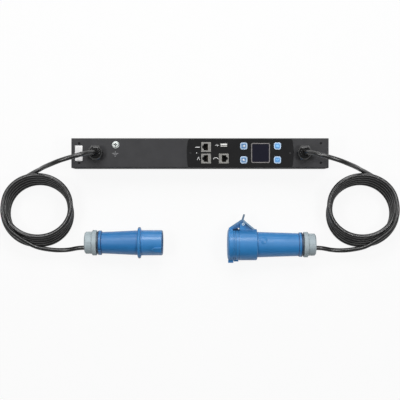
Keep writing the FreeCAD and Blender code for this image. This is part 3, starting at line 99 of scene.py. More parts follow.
def closedEnds(grid):  # adds a first and last row, each shrunk to the middle of its neighbour
    ends = [row.mean(axis=1, keepdims=True).repeat(grid.shape[1], axis=1) for row in (grid[:1], grid[-1:])]
    return np.concatenate([ends[0], grid, ends[1]])


def roundedPlate(centre, half, corner, levels, steps=48):
    # Rounded rectangle: point(a) = core*(sign of cos a, sign of sin a) + corner*(cos a, sin a),
    # core = half sides less the corner; each level (inset, height) is one row, and the ends are closed.
    turn = np.linspace(0, 2 * np.pi, steps, endpoint=False) + np.pi / steps
    rows = []
    for inset, height in levels:
        radius = max(corner - inset, meshSet["sharpest"])
        core = np.array(half) - inset - radius
        across = centre[0] + np.sign(np.cos(turn)) * core[0] + radius * np.cos(turn)
        up = centre[1] + np.sign(np.sin(turn)) * core[1] + radius * np.sin(turn)
        rows.append(np.stack([across, up, np.full(steps, height)], axis=1))
    return closedEnds(np.stack(rows))


def prism(corners, low, high):  # upright block: plan corners carried from one height to another
    corners = np.asarray(corners, float)
    return closedEnds(np.stack([np.column_stack([corners, np.full(len(corners), z)]) for z in (low, high)]))


def ribbon(path, width, low, high):
    # A flat bar: the rectangle (+-width/2, low..high) carried along a plan path, ends closed.
    path = np.asarray(path, float)
    ahead = np.gradient(path, axis=0)
    ahead /= np.linalg.norm(ahead, axis=1, keepdims=True)
    side = np.stack([-ahead[:, 1], ahead[:, 0]], axis=1) * width / 2
    left, right = path + side, path - side
    corners = [np.column_stack([edge, np.full(len(path), height)])
               for edge, height in ((left, low), (right, low), (right, high), (left, high))]
    return closedEnds(np.stack(corners, axis=1))


def arcPath(centre, radius, start, stop, steps=14):  # plan points on an arc, angles in degrees
    angle = np.radians(np.linspace(start, stop, steps))
    return np.stack([centre[0] + radius * np.cos(angle), centre[1] + radius * np.sin(angle)], axis=1)


def finishFor(name):  # a new material with its shader and object coordinates
    material = bpy.data.materials.new(name)
    material.use_nodes = True
    tree = material.node_tree
    place = tree.nodes.new("ShaderNodeTexCoord").outputs["Object"]
    return material, tree, tree.nodes["Principled BSDF"], place


def noise(tree, place, scale, detail, stretch=None):  # cloud pattern, scale in lumps per metre
    if stretch:
        mapping = tree.nodes.new("ShaderNodeMapping")
        mapping.inputs["Scale"].default_value = stretch
        tree.links.new(place, mapping.inputs["Vector"])
        place = mapping.outputs["Vector"]
    node = tree.nodes.new("ShaderNodeTexNoise")
    node.inputs["Scale"].default_value = scale
    node.inputs["Detail"].default_value = detail
    tree.links.new(place, node.inputs["Vector"])
    return node.outputs["Fac"]


def spread(tree, value, fromLow, fromHigh, low, high):  # maps one span of a value onto another
    node = tree.nodes.new("ShaderNodeMapRange")
    for socket, amount in zip(("From Min", "From Max", "To Min", "To Max"), (fromLow, fromHigh, low, high)):
        node.inputs[socket].default_value = amount
    tree.links.new(value, node.inputs["Value"])
    return node.outputs["Result"]


def fade(tree, value, start, stop, amount=1.0):  # 0 at the start, the amount at the stop
    return spread(tree, value, start, stop, 0.0, amount)


def clouds(tree, place, scale):  # soft patches between 0 and 1
    return fade(tree, noise(tree, place, scale, surfaceSet["cloudDetail"]), *surfaceSet["cloudSpan"])


def blendTone(tree, factor, first, second):
    # First colour where the factor is 0, second where it is 1; 6, 7 and 2 are the Mix node's colour sockets.
    node = tree.nodes.new("ShaderNodeMix")
    node.data_type = "RGBA"
    tree.links.new(factor, node.inputs[0])
    for socket, colour in ((6, first), (7, second)):
        if isinstance(colour, tuple):
            node.inputs[socket].default_value = colour
        else:
            tree.links.new(colour, node.inputs[socket])
    return node.outputs[2]


def sums(tree, operation, first, second):  # one step of arithmetic on values or numbers
    node = tree.nodes.new("ShaderNodeMath")
    node.operation = operation
    for socket, value in enumerate((first, second)):
        if isinstance(value, (int, float)):
            node.inputs[socket].default_value = value
        else:
            tree.links.new(value, node.inputs[socket])
    return node.outputs[0]


def axes(tree, place):  # the three parts of a position
    node = tree.nodes.new("ShaderNodeSeparateXYZ")
    tree.links.new(place, node.inputs[0])
    return node.outputs["X"], node.outputs["Y"], node.outputs["Z"]


def fromAxis(tree, place, middle, mirrored=False):
    # Distance from an upright axis, or from the nearest of four mirrored ones.
    for operation, amount in ([("ABSOLUTE", None)] if mirrored else []) + [
            ("SUBTRACT", (*middle, 0.0)), ("MULTIPLY", (1.0, 1.0, 0.0)), ("LENGTH", None)]:
        node = tree.nodes.new("ShaderNodeVectorMath")
        node.operation = operation
        tree.links.new(place, node.inputs[0])
        if amount:
            node.inputs[1].default_value = amount
        place = node.outputs["Value" if operation == "LENGTH" else "Vector"]
    return place


def softEdge(tree, radius):  # normal rounded over sharp edges
    node = tree.nodes.new("ShaderNodeBevel")
    node.samples = surfaceSet["bevelRays"]
    node.inputs["Radius"].default_value = radius
    return node.outputs["Normal"]


def edgeWear(tree, softNormal, amount):  # 0 on flats, up to the amount along edges
    dot = tree.nodes.new("ShaderNodeVectorMath")
    dot.operation = "DOT_PRODUCT"
    tree.links.new(softNormal, dot.inputs[0])
    tree.links.new(tree.nodes.new("ShaderNodeNewGeometry").outputs["Normal"], dot.inputs[1])
    return spread(tree, dot.outputs["Value"], *surfaceSet["wornSpan"], amount, 0.0)


def addBump(tree, shader, height, depth, strength, softNormal=None):
    node = tree.nodes.new("ShaderNodeBump")
    node.inputs["Strength"].default_value = strength
    node.inputs["Distance"].default_value = depth
    tree.links.new(height, node.inputs["Height"])
    if softNormal is not None:
        tree.links.new(softNormal, node.inputs["Normal"])
    tree.links.new(node.outputs["Normal"], shader.inputs["Normal"])


def addMarks(tree, place, colour, look):  # a finish's own marks, each laid over the colour before it
    for mask, mark in look["marks"](tree, place) if "marks" in look else ():
        colour = blendTone(tree, mask, colour, mark)
    return colour


def mouldedFinish(name, look):
    # Moulded or coated skin: mottled colour, fine grain, paler edges, patchy roughness, own marks.
    material, tree, shader, place = finishFor(name)
    soft = softEdge(tree, look["edge"])
    colour = blendTone(tree, clouds(tree, place, look["mottle"]), look["dark"], look["light"])
    colour = blendTone(tree, edgeWear(tree, soft, look["wear"]), colour, look["worn"])
    tree.links.new(addMarks(tree, place, colour, look), shader.inputs["Base Color"])
    patch = noise(tree, place, look["patch"], surfaceSet["grainDetail"])
    tree.links.new(spread(tree, patch, *surfaceSet["cloudSpan"], *look["rough"]), shader.inputs["Roughness"])
    grain = noise(tree, place, look["grain"], surfaceSet["grainDetail"])
    addBump(tree, shader, grain, look["depth"], look.get("strength", surfaceSet["skinBump"]), soft)
    shader.inputs["Specular IOR Level"].default_value = look["shine"]
    shader.inputs["Coat Weight"].default_value = look.get("coat", 0.0)
    shader.inputs["Coat Roughness"].default_value = look.get("coatRough", surfaceSet["coatRough"])
    return material


def metalFinish(name, look):
    # Plated or turned metal: fine scratches along one axis, tarnish clouds, soft edges, own marks.
    material, tree, shader, place = finishFor(name)
    soft = softEdge(tree, look["edge"])
    colour = blendTone(tree, clouds(tree, place, look["mottle"]), look["dark"], look["light"])
    tree.links.new(addMarks(tree, place, colour, look), shader.inputs["Base Color"])
    lines = noise(tree, place, look["grain"], surfaceSet["lineDetail"], look["stretch"])
    tree.links.new(spread(tree, lines, *surfaceSet["lineSpan"], *look["rough"]), shader.inputs["Roughness"])
    addBump(tree, shader, lines, look["depth"], surfaceSet["metalBump"], soft)
    shader.inputs["Metallic"].default_value = look["metal"]
    return material


def paint(material, *names):  # gives CAD nodes their finish
    for name in names:
        for slot in nodes[name].material_slots:
            slot.material = material


def settle(piece, material, body="unit"):  # gives a new piece its finish, slot and body
    piece.data.materials.clear()
    piece.data.materials.append(material)
    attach(piece, body)


# Camera straight above, picture up is +Y
cameraSet = {"spot": (0.0, -0.0812, 1.553), "lens": 78.06, "sensor": 36.0}
camera = bpy.data.objects.new("camera", bpy.data.cameras.new("camera"))
camera.location = cameraSet["spot"]
camera.data.lens = cameraSet["lens"]
camera.data.sensor_width = cameraSet["sensor"]
scene.collection.objects.link(camera)
scene.camera = camera
print("camera placed")

# Both cords run from gland to coil to clamp nut, each one smooth line; numbers in metres
cordSet = {
    "diameter": 0.0078, "order": 3, "stepsAlong": 6, "stepsAround": 5,
    "lead": [  # outward from the unit's middle, across, height
        (0.1800, 0.0000, 0.0555), (0.1800, 0.0000, 0.0625), (0.1800, 0.0000, 0.0811),
        (0.1901, -0.0020, 0.0984), (0.2083, -0.0076, 0.1081), (0.2338, -0.0150, 0.1067),
        (0.2523, -0.0215, 0.0958), (0.2686, -0.0260, 0.0734), (0.2780, -0.0280, 0.0460),
        (0.2943, -0.0335, 0.0262), (0.3160, -0.0450, 0.0140), (0.3362, -0.0573, 0.0086),
        (0.3495, -0.0840, 0.0064),
    ],
    "floorRun": [(0.3526, -0.1103, 0.0040), (0.3464, -0.1285, 0.0040), (0.3351, -0.1437, 0.0040),
                 (0.3203, -0.1547, 0.0040), (0.3043, -0.1606, 0.0040)],
    "coil": {  # turn angles in degrees; pairs are outward and across, shift and growth reach the last turn
        "first": 270, "last": 1980, "turnSteps": 16,
        "middle": (0.28396, -0.10692), "shift": (-0.00059, 0.01730),
        "half": (0.05706, 0.05523), "growth": (0.00346, -0.00163),
        "slack": 0.0038, "low": 0.004, "climb": 0.039,
    },
    "leave": [(0.3439, -0.0896, 0.0430), (0.3443, -0.1071, 0.0428), (0.3362, -0.1315, 0.0410)],
    "tail": [  # outward from the clamp nut's rear, across from the cord there, height over the nut's axis
        (0.1123, 0.0167, 1.300), (0.0986, 0.0079, 1.170), (0.0865, 0.0012, 0.996), (0.0732, -0.0024, 0.833),
        (0.0526, -0.0054, 0.707), (0.0310, -0.0047, 0.743), (0.0146, -0.0010, 0.940), (0.0035, 0.0, 1.0),
        (-0.0085, 0.0, 1.0),
    ],
    "input": {"side": -1, "nut": (0.2020, -0.1649, 0.0276), "farEnd": "plug", "length": 2.25,
              "fitting": ("plug_",)},
    "output": {"side": 1, "nut": (0.2026, -0.1652, 0.0285), "farEnd": "connector", "length": 2.25,
               "fitting": ("connector_", "lid_")},
}
sheathSet = {
    "clean": tone(7, 7, 7), "dusty": tone(12, 12, 13), "dust": 90, "dustDetail": 5.0,
    "dustSpan": (0.35, 0.75), "patch": 260, "rough": (0.3, 0.36), "grain": 1500, "depth": 0.00004,
    "strength": 0.1, "shine": 1.0}


def coilTurns(c):
    # Leaning coil, a the turn angle and share going from 0 to 1 over all turns:
    # outward = middle + shift*share - (half + growth*share)*cos a + slack*sin(pi*share)*max(cos a, 0)^2,
    # across = middle + shift*share + (half + growth*share)*sin a, height = low + climb*share.
    angle = np.arange(c["first"], c["last"] - 1, 360 / c["turnSteps"])
    share = (angle - c["first"]) / (c["last"] - c["first"])
    angle = np.radians(angle)
    middle = [c["middle"][axis] + c["shift"][axis] * share for axis in (0, 1)]
    half = [c["half"][axis] + c["growth"][axis] * share for axis in (0, 1)]
    out = middle[0] - half[0] * np.cos(angle)
    out += c["slack"] * np.sin(np.pi * share) * np.maximum(np.cos(angle), 0) ** 2
    across = middle[1] + half[1] * np.sin(angle)
    return np.stack([out, across, c["low"] + c["climb"] * share], axis=1)


def cordRoute(s, end):  # all points of one cord, mirrored to its side
    nutOut, nutAcross, nutHeight = end["nut"]
    tail = np.array(s["tail"]) * (1, 1, nutHeight) + (nutOut, nutAcross, 0)
    route = np.concatenate([s["lead"], s["floorRun"], coilTurns(s["coil"]), s["leave"], tail])
    return route * (end["side"], 1, 1)


def cordCurve(name, route, s):
    curve = bpy.data.curves.new(name, "CURVE")
    curve.dimensions = "3D"
    spline = curve.splines.new("NURBS")
    spline.points.add(len(route) - 1)
    spline.points.foreach_set("co", np.column_stack([route, np.ones(len(route))]).reshape(-1))
    spline.order_u = s["order"]
    spline.use_endpoint_u = True
    curve.resolution_u = s["stepsAlong"]
    curve.bevel_depth = s["diameter"] / 2
    curve.bevel_resolution = s["stepsAround"]
    curve.use_fill_caps = True
    piece = bpy.data.objects.new(name, curve)
    scene.collection.objects.link(piece)
    return piece


def cordFinish(look):
    # Extruded sheath: dust, fine grain and a soft shine.
    material, tree, shader, place = finishFor("cordSheath")
    dust = fade(tree, noise(tree, place, look["dust"], look["dustDetail"]), *look["dustSpan"])
    tree.links.new(blendTone(tree, dust, look["clean"], look["dusty"]), shader.inputs["Base Color"])
    patch = noise(tree, place, look["patch"], surfaceSet["lineDetail"])
    tree.links.new(spread(tree, patch, *surfaceSet["cloudSpan"], *look["rough"]), shader.inputs["Roughness"])
    grain = noise(tree, place, look["grain"], surfaceSet["grainDetail"])
    addBump(tree, shader, grain, look["depth"], look["strength"])
    shader.inputs["Specular IOR Level"].default_value = look["shine"]
    return material


cordSheath = cordFinish(sheathSet)
for word in ("input", "output"):
    end, start = cordSet[word], cordSet["lead"][0]
    piece = cordCurve(word + "Cord", cordRoute(cordSet, end), cordSet)
    settle(piece, cordSheath)
    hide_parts(f"{word}_cord_lead", f"{word}_cord_coil", f"{word}_cord_tail")
print("cords laid")

# Case: powder coated steel, moulded caps, screws
screwSet = {"spot": (0.2090, 0.0170), "head": 0.0018, "blur": 0.0003, "rim": tone(54, 54, 56)}
earthSet = {"recess": 0.0004, "drive": 0.0034, "recessShade": tone(58, 66, 64)}


def screwMarks(tree, place):  # countersunk rim painted over with the case
    away = fromAxis(tree, place, screwSet["spot"], True)
    return [(fade(tree, away, screwSet["head"], screwSet["head"] + screwSet["blur"]), screwSet["rim"])]


def earthMarks(tree, place):  # painted shade in the drive recess
    low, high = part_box("earth_screw")
    deep = sums(tree, "LESS_THAN", axes(tree, place)[2], high[2] - earthSet["recess"])
    near = sums(tree, "LESS_THAN", fromAxis(tree, place, planMiddle(low, high)), earthSet["drive"])
    return [(sums(tree, "MULTIPLY", deep, near), earthSet["recessShade"])]


casePaint = mouldedFinish("casePaint", {
    "dark": tone(51, 51, 53), "light": tone(57, 57, 59), "worn": tone(90, 90, 92), "wear": 0.5,
    "edge": 0.0006, "mottle": 45, "patch": 160, "rough": (0.46, 0.58), "grain": 1900, "depth": 0.00009,
    "shine": 0.26})
capPlastic = mouldedFinish("capPlastic", {
    "dark": tone(49, 49, 51), "light": tone(55, 55, 57), "worn": tone(88, 88, 90), "wear": 0.4,
    "edge": 0.0006, "mottle": 60, "patch": 120, "rough": (0.5, 0.62), "grain": 2600, "depth": 0.00006,
    "shine": 0.3})
screwSteel = mouldedFinish("screwSteel", {
    "dark": tone(12, 12, 13), "light": tone(18, 18, 19), "worn": tone(30, 30, 31), "wear": 0.2,
    "edge": 0.0002, "mottle": 900, "patch": 700, "rough": (0.45, 0.6), "grain": 1500, "depth": 0.00002,
    "shine": 0.15, "marks": screwMarks})
blackSteel = metalFinish("blackSteel", {
    "dark": tone(44, 44, 45), "light": tone(72, 72, 73), "edge": 0.0002, "mottle": 900, "grain": 700,
    "stretch": (1, 1, 6), "rough": (0.3, 0.46), "depth": 0.00002, "metal": 0.8})
brightZinc = metalFinish("brightZinc", {
    "dark": tone(196, 204, 201), "light": tone(238, 242, 240), "edge": 0.0007, "mottle": 420, "grain": 600,
    "stretch": (1, 8, 1), "rough": (0.3, 0.46), "depth": 0.00002, "metal": 0.55, "marks": earthMarks})
paint(casePaint, "front_channel", "rear_cover")
paint(capPlastic, "end_cap_left", "end_cap_right")
paint(screwSteel, "case_screws")
paint(blackSteel, "module_screws", "lid_spring")
paint(brightZinc, "earth_screw", "earth_washer", "earth_nut", "mounting_inserts")
print("case finished")

# Glands and seals
glandPlastic = mouldedFinish("glandPlastic", {
    "dark": tone(10, 10, 11), "light": tone(15, 15, 16), "worn": tone(28, 28, 29), "wear": 0.4,
    "edge": 0.0011, "mottle": 130, "patch": 240, "rough": (0.14, 0.2), "grain": 2400, "depth": 0.00003,
    "shine": 0.5, "coat": 0.9, "coatRough": 0.08, "strength": 0.2})
sealRubber = mouldedFinish("sealRubber", {
    "dark": tone(15, 15, 15), "light": tone(24, 24, 24), "worn": tone(40, 40, 40), "wear": 0.3,
    "edge": 0.0004, "mottle": 200, "patch": 200, "rough": (0.6, 0.78), "grain": 1800, "depth": 0.00006,
    "shine": 0.3})
paint(glandPlastic, "gland_body_left", "gland_body_right", "gland_nut_left", "gland_nut_right")
paint(glandPlastic, "gland_locknuts")
paint(sealRubber, "gland_seals", "plug_cable_seal", "connector_cable_seal", "lid_gasket")

# Module: bezel, tray, boards, display
bezelPlastic = mouldedFinish("bezelPlastic", {
    "dark": tone(24, 24, 25), "light": tone(28, 28, 29), "worn": tone(58, 58, 60), "wear": 0.5,
    "edge": 0.0005, "mottle": 70, "patch": 150, "rough": (0.44, 0.56), "grain": 3200, "depth": 0.00004,
    "shine": 0.12})
boardGreen = mouldedFinish("boardGreen", {
    "dark": tone(16, 84, 46), "light": tone(26, 112, 62), "worn": tone(150, 150, 90), "wear": 0.6,
    "edge": 0.0003, "mottle": 300, "patch": 500, "rough": (0.28, 0.42), "grain": 900, "depth": 0.00004,
    "shine": 0.5})
panelPlastic = mouldedFinish("panelPlastic", {
    "dark": tone(34, 34, 36), "light": tone(42, 42, 44), "worn": tone(60, 60, 62), "wear": 0.3,
    "edge": 0.0004, "mottle": 90, "patch": 150, "rough": (0.5, 0.62), "grain": 2000, "depth": 0.00004,
    "shine": 0.4})
displayRim = mouldedFinish("displayRim", {
    "dark": tone(118, 114, 114), "light": tone(132, 128, 128), "worn": tone(160, 156, 156), "wear": 0.3,
    "edge": 0.0003, "mottle": 220, "patch": 300, "rough": (0.34, 0.46), "grain": 2600, "depth": 0.00003,
    "shine": 0.5})
paint(bezelPlastic, "module_bezel", "module_housing")
paint(boardGreen, "module_board", "metering_board")
paint(panelPlastic, "display_panel", "button_switches", "current_transformer")
paint(displayRim, "display_frame")
screenSet = {
    "pitch": 9000.0, "dark": tone(28, 28, 39), "light": tone(33, 33, 44), "smear": 110, "smearDetail": 5.0,
    "smearSpan": (0.35, 0.7), "rough": (0.12, 0.2), "wave": 40, "waveDetail": 1.0, "depth": 0.00002,
    "strength": 0.3, "shine": 0.25}


def screenFinish(look):
    # Dark display glass: faint cells sin(pitch*x)*sin(pitch*y), a smooth cover, smears in its gloss.
    material, tree, shader, place = finishFor("screenGlass")
    across, up = axes(tree, place)[:2]
    rows = sums(tree, "SINE", sums(tree, "MULTIPLY", up, look["pitch"]), 0.0)
    columns = sums(tree, "SINE", sums(tree, "MULTIPLY", across, look["pitch"]), 0.0)
    cells = fade(tree, sums(tree, "MULTIPLY", rows, columns), -1.0, 1.0)
    tree.links.new(blendTone(tree, cells, look["dark"], look["light"]), shader.inputs["Base Color"])
    smear = noise(tree, place, look["smear"], look["smearDetail"])
    tree.links.new(spread(tree, smear, *look["smearSpan"], *look["rough"]), shader.inputs["Roughness"])
    wave = noise(tree, place, look["wave"], look["waveDetail"])
    addBump(tree, shader, wave, look["depth"], look["strength"])
    shader.inputs["Specular IOR Level"].default_value = look["shine"]
    return material


paint(screenFinish(screenSet), "display_window")

# Jacks and port: plated shells, plastic inside their mouths, painted shade deeper in
jackSet = {
    "face": 0.0003, "mouth": 0.0016, "edge": 0.0003, "mottle": 500, "grain": 500, "stretch": (7, 1, 1),
    "dull": tone(128, 127, 124), "bright": tone(160, 159, 155), "deep": tone(20, 20, 21), "metal": 0.6,
    "rough": (0.34, 0.5), "depth": 0.00006, "strength": 0.6}


def jackFinish(name, top, inner, liningRough):
    # Plated sheet at the face, a plastic just inside the mouth, painted shade further in.
    material, tree, shader, place = finishFor(name)
    soft = softEdge(tree, jackSet["edge"])
    depth = axes(tree, place)[2]
    shell = sums(tree, "GREATER_THAN", depth, top - jackSet["face"])
    mouth = sums(tree, "GREATER_THAN", depth, top - jackSet["mouth"])
    plate = blendTone(tree, clouds(tree, place, jackSet["mottle"]), jackSet["dull"], jackSet["bright"])
    # the deep colour is painted shade inside the mouth
    lining = blendTone(tree, mouth, jackSet["deep"], inner)
    tree.links.new(blendTone(tree, shell, lining, plate), shader.inputs["Base Color"])
    tree.links.new(sums(tree, "MULTIPLY", shell, jackSet["metal"]), shader.inputs["Metallic"])
    lines = noise(tree, place, jackSet["grain"], surfaceSet["lineDetail"], jackSet["stretch"])
    shellRough = spread(tree, lines, *surfaceSet["lineSpan"], *jackSet["rough"])
    insideRough = spread(tree, shell, 0.0, 1.0, liningRough, 0.0)
    tree.links.new(sums(tree, "MAXIMUM", shellRough, insideRough), shader.inputs["Roughness"])
    addBump(tree, shader, lines, jackSet["depth"], jackSet["strength"], soft)
    return material


low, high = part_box("usb_port")
jackTop = high[2]
jackShell = jackFinish("jackShell", jackTop, jackSet["deep"], 0.55)
portShell = jackFinish("portShell", jackTop, tone(244, 244, 241), 0.5)
paint(jackShell, "network_jack_upper", "network_jack_lower", "sensor_jack")
paint(portShell, "usb_port")
plateSet = {  # spring plate of the port; levels are inset and depth under the face
    "half": (0.0056, 0.00068), "drop": 0.00182, "corner": 0.0003,
    "levels": [(0.0, 0.006), (0.0, 0.0006), (0.0002, 0.0004), (0.0006, 0.0004)]}
portMiddle = planMiddle(low, high)
springSpot = (portMiddle[0], portMiddle[1] - plateSet["drop"])
springLevels = [(inset, jackTop - depth) for inset, depth in plateSet["levels"]]
springGrid = roundedPlate(springSpot, plateSet["half"], plateSet["corner"], springLevels)
portSpring = pieceFromGrids("usb.spring", [springGrid])
springPlate = metalFinish("springPlate", {
    "dark": tone(176, 175, 172), "light": tone(206, 205, 202), "edge": 0.0003, "mottle": 500, "grain": 600,
    "stretch": (1, 6, 1), "rough": (0.36, 0.5), "depth": 0.00002, "metal": 0.3})
settle(portSpring, springPlate)
goldPlate = metalFinish("goldPlate", {
    "dark": tone(176, 138, 62), "light": tone(222, 186, 104), "edge": 0.0001, "mottle": 900, "grain": 900,
    "stretch": (1, 5, 1), "rough": (0.24, 0.38), "depth": 0.00001, "metal": 1.0})
contactSet = {
    "count": 8, "pitch": 0.00102, "wire": 0.0003, "steps": 9, "sides": 6, "shade": 60, "wall": 0.00325,
    "start": 0.0003, "bow": 0.0026, "mouth": 0.0022, "fall": 0.0070, "lean": 0.3}


def springContact(s, wall, side, across, top):
    # A bent spring wire: a small circle carried along x = wall + side*(start + bow*sin(pi t/2)),
    # z = top - mouth - fall*t, for t from 0 to 1.
    t = np.linspace(0, 1, s["steps"])
    along = wall + side * (s["start"] + s["bow"] * np.sin(np.pi * t * 0.5))
    height = top - s["mouth"] - s["fall"] * t
    turn = np.linspace(0, 2 * np.pi, s["sides"], endpoint=False)
    radius = s["wire"] / 2
    ring = np.stack([radius * np.cos(turn), radius * np.sin(turn), s["lean"] * radius * np.cos(turn)], axis=1)
    line = np.stack([along, np.full(s["steps"], across), height], axis=1)
    return closedEnds(line[:, None, :] + ring[None, :, :])


for name, side in (("network_jack_upper", -1), ("network_jack_lower", -1), ("sensor_jack", 1)):
    low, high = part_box(name)
    middle, across = planMiddle(low, high)
    wall = middle - side * contactSet["wall"]
    offsets = (np.arange(contactSet["count"]) - (contactSet["count"] - 1) / 2) * contactSet["pitch"]
    wires = [springContact(contactSet, wall, side, across + step, high[2]) for step in offsets]
    contacts = pieceFromGrids(name.replace("_", ".") + ".contacts", wires, contactSet["shade"])
    settle(contacts, goldPlate)
print("module finished")

# Push buttons: pale rim, raised blue pad, light sign
keySkin = {"patch": 300, "rough": (0.34, 0.46), "grain": 2600, "depth": 0.00003, "shine": 0.4}
padSkin = {**keySkin, "wear": 0.4, "edge": 0.0003, "mottle": 320}
inkSkin = {"wear": 0.0, "edge": 0.0001, "mottle": 900, "patch": 700, "rough": (0.5, 0.65), "grain": 3000,
           "depth": 0.00002, "shine": 0.3}
keyRim = mouldedFinish("keyRim", {
    **keySkin, "dark": tone(174, 199, 226), "light": tone(190, 212, 236), "worn": tone(214, 228, 244),
    "wear": 0.5, "edge": 0.0005, "mottle": 260})
keyBlue = mouldedFinish("keyBlue", {
    **padSkin, "dark": tone(84, 126, 170), "light": tone(96, 138, 182), "worn": tone(130, 168, 206)})
keySky = mouldedFinish("keySky", {
    **padSkin, "dark": tone(88, 148, 208), "light": tone(100, 162, 222), "worn": tone(140, 190, 240)})
inkWhite = mouldedFinish("inkWhite", {
    **inkSkin, "dark": tone(216, 216, 216), "light": tone(234, 234, 234), "worn": tone(240, 240, 240)})
inkSky = mouldedFinish("inkSky", {
    **inkSkin, "dark": tone(132, 196, 248), "light": tone(150, 210, 254), "worn": tone(170, 220, 255)})
paint(keyRim, "button_upper_left", "button_lower_left", "button_upper_right", "button_lower_right")
keySet = {  # levels are inset and height over the button's top
    "half": (0.0043, 0.0043), "corner": 0.0017, "signSunk": 0.00004, "signRise": 0.00008,
    "levels": [(0.0, -0.0002), (0.0, 0.0001), (0.00012, 0.00026), (0.0005, 0.00035), (0.0025, 0.00035)],
    "pads": {"upper_left": (keyBlue, inkWhite), "lower_left": (keyBlue, inkWhite),
             "upper_right": (keySky, inkSky), "lower_right": (keySky, inkSky)},
}
glyphSet = {  # in mm from the key's middle
    "arrow": [(-2.3, 0.0), (1.9, 0.0)], "flare": 0.55,
    "lens": (-0.5, 0.3), "lensRadius": 1.75, "lensTurn": 345, "lensSteps": 24,
    "handle": [(0.9, -1.1), (1.6, -1.8), (2.3, -2.5)], "handleWidth": 1.1,
    "panel": (0.0, 0.3), "panelHalf": (2.5, 1.9), "panelCorner": 0.5, "panelInset": 1.5,
    "down": [(-2.3, 1.1), (0.0, -0.5), (2.3, 1.1)], "downWidth": 1.5}


def wedge(tip, base, flare, low, high):  # a flat arrow head, flare is its half width over its length
    across = np.array([-(tip - base)[1], (tip - base)[0]]) * flare
    return prism(np.stack([tip, base + across, base - across]), low, high)


def keySign(g, word, middle, low, high):
    def spots(name):
        return np.array(middle) + np.array(g[name]) * mm
    if word == "upper_left":  # back arrow
        tip, base = spots("arrow")
        return [wedge(tip, base, g["flare"], low, high)]
    if word == "lower_left":  # lens with its handle
        lens = arcPath(spots("lens"), g["lensRadius"] * mm, 0, g["lensTurn"], g["lensSteps"])
        return [prism(lens, low, high), ribbon(spots("handle"), g["handleWidth"] * mm, low, high)]
    if word == "upper_right":  # list panel
        levels = [(0.0, low), (0.0, high), (g["panelInset"] * mm, high)]
        return [roundedPlate(spots("panel"), np.array(g["panelHalf"]) * mm, g["panelCorner"] * mm, levels)]
    return [ribbon(spots("down"), g["downWidth"] * mm, low, high)]  # down mark


for word, (padFinish, signFinish) in keySet["pads"].items():
    low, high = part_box("button_" + word)
    middle, top = planMiddle(low, high), high[2]
    levels = [(inset, top + rise) for inset, rise in keySet["levels"]]
    padTop = levels[-1][1]
    body, title = "key_" + word, "key." + word.replace("_", ".")
    pad = pieceFromGrids(title + ".pad", [roundedPlate(middle, keySet["half"], keySet["corner"], levels)])
    settle(pad, padFinish, body)
    signGrids = keySign(glyphSet, word, middle, padTop - keySet["signSunk"], padTop + keySet["signRise"])
    settle(pieceFromGrids(title + ".sign", signGrids), signFinish, body)
print("keys finished")

# Printed signs and the bare label; places in mm, widths in metres
signSet = {
    "caseFace": 0.0530, "bezelFace": 0.0546, "ink": 0.00006, "sunk": 0.00003, "steps": 4,
    "line": 0.0007, "portLine": 0.00085, "serialLine": 0.0012, "dot": 0.0015,
    "earth": [((-146.6, 3.4), (-146.6, -0.5)), ((-152.0, -0.5), (-141.2, -0.5)),
              ((-149.6, -2.9), (-143.6, -2.9)), ((-148.0, -5.2), (-145.2, -5.2))],
    "arch": {"centre": (27.3, -12.4), "radius": 4.6, "start": 22, "stop": 158},
}


def inked(path, width, face):  # a printed line a little proud of a face
    return ribbon(path, width, face - signSet["sunk"], face + signSet["ink"])


def caseBar(start, stop):
    return inked(np.linspace(start, stop, signSet["steps"]) * mm, signSet["line"], signSet["caseFace"])


def portBar(start, stop, width):
    return inked(np.linspace(start, stop, signSet["steps"]) * mm, signSet[width], signSet["bezelFace"])


def portArch(a):
    path = arcPath((a["centre"][0] * mm, a["centre"][1] * mm), a["radius"] * mm, a["start"], a["stop"])
    return inked(path, signSet["portLine"], signSet["bezelFace"])


inkGrey = mouldedFinish("inkGrey", {
    **inkSkin, "dark": tone(146, 146, 148), "light": tone(164, 164, 166), "worn": tone(164, 164, 164)})
settle(pieceFromGrids("earthSign", [caseBar(*ends) for ends in signSet["earth"]]), inkGrey)
portSigns = [
    portBar((-8.0, 10.0), (-0.4, 10.0), "serialLine"),
    portBar((-6.6, 0.2), (-5.1, 0.2), "dot"),  # status dot
    portBar((-4.9, -12.0), (-2.6, -7.0), "portLine"),  # network, two strokes
    portBar((-2.6, -7.0), (-0.3, -12.0), "portLine"),
    portArch(signSet["arch"]),  # sensor
    portBar((26.3, 13.4), (32.0, 13.4), "portLine"),  # serial bus with two branches
    portBar((28.0, 13.4), (29.7, 15.1), "line"),
    portBar((28.9, 13.4), (30.6, 11.8), "line")]
settle(pieceFromGrids("portSigns", portSigns), inkWhite)

labelSet = {  # levels are inset and height as a share of the thickness
    "middle": (-0.2097, -0.0004), "half": (0.0065, 0.01335), "corner": 0.0006, "thick": 0.00012,
    "levels": [(0.0, -0.25), (0.0, 0.7), (0.00006, 1.0), (0.003, 1.0)]}
labelPaper = mouldedFinish("labelPaper", {
    "dark": tone(226, 226, 226), "light": tone(238, 238, 238), "worn": tone(208, 208, 206), "wear": 0.4,
    "edge": 0.0003, "mottle": 260, "patch": 300, "rough": (0.6, 0.75), "grain": 2400, "depth": 0.00003,
    "shine": 0.3})
labelLevels = [(inset, signSet["caseFace"] + labelSet["thick"] * share)
               for inset, share in labelSet["levels"]]
labelGrid = roundedPlate(labelSet["middle"], labelSet["half"], labelSet["corner"], labelLevels)
settle(pieceFromGrids("blankLabel", [labelGrid]), labelPaper)
print("signs finished")

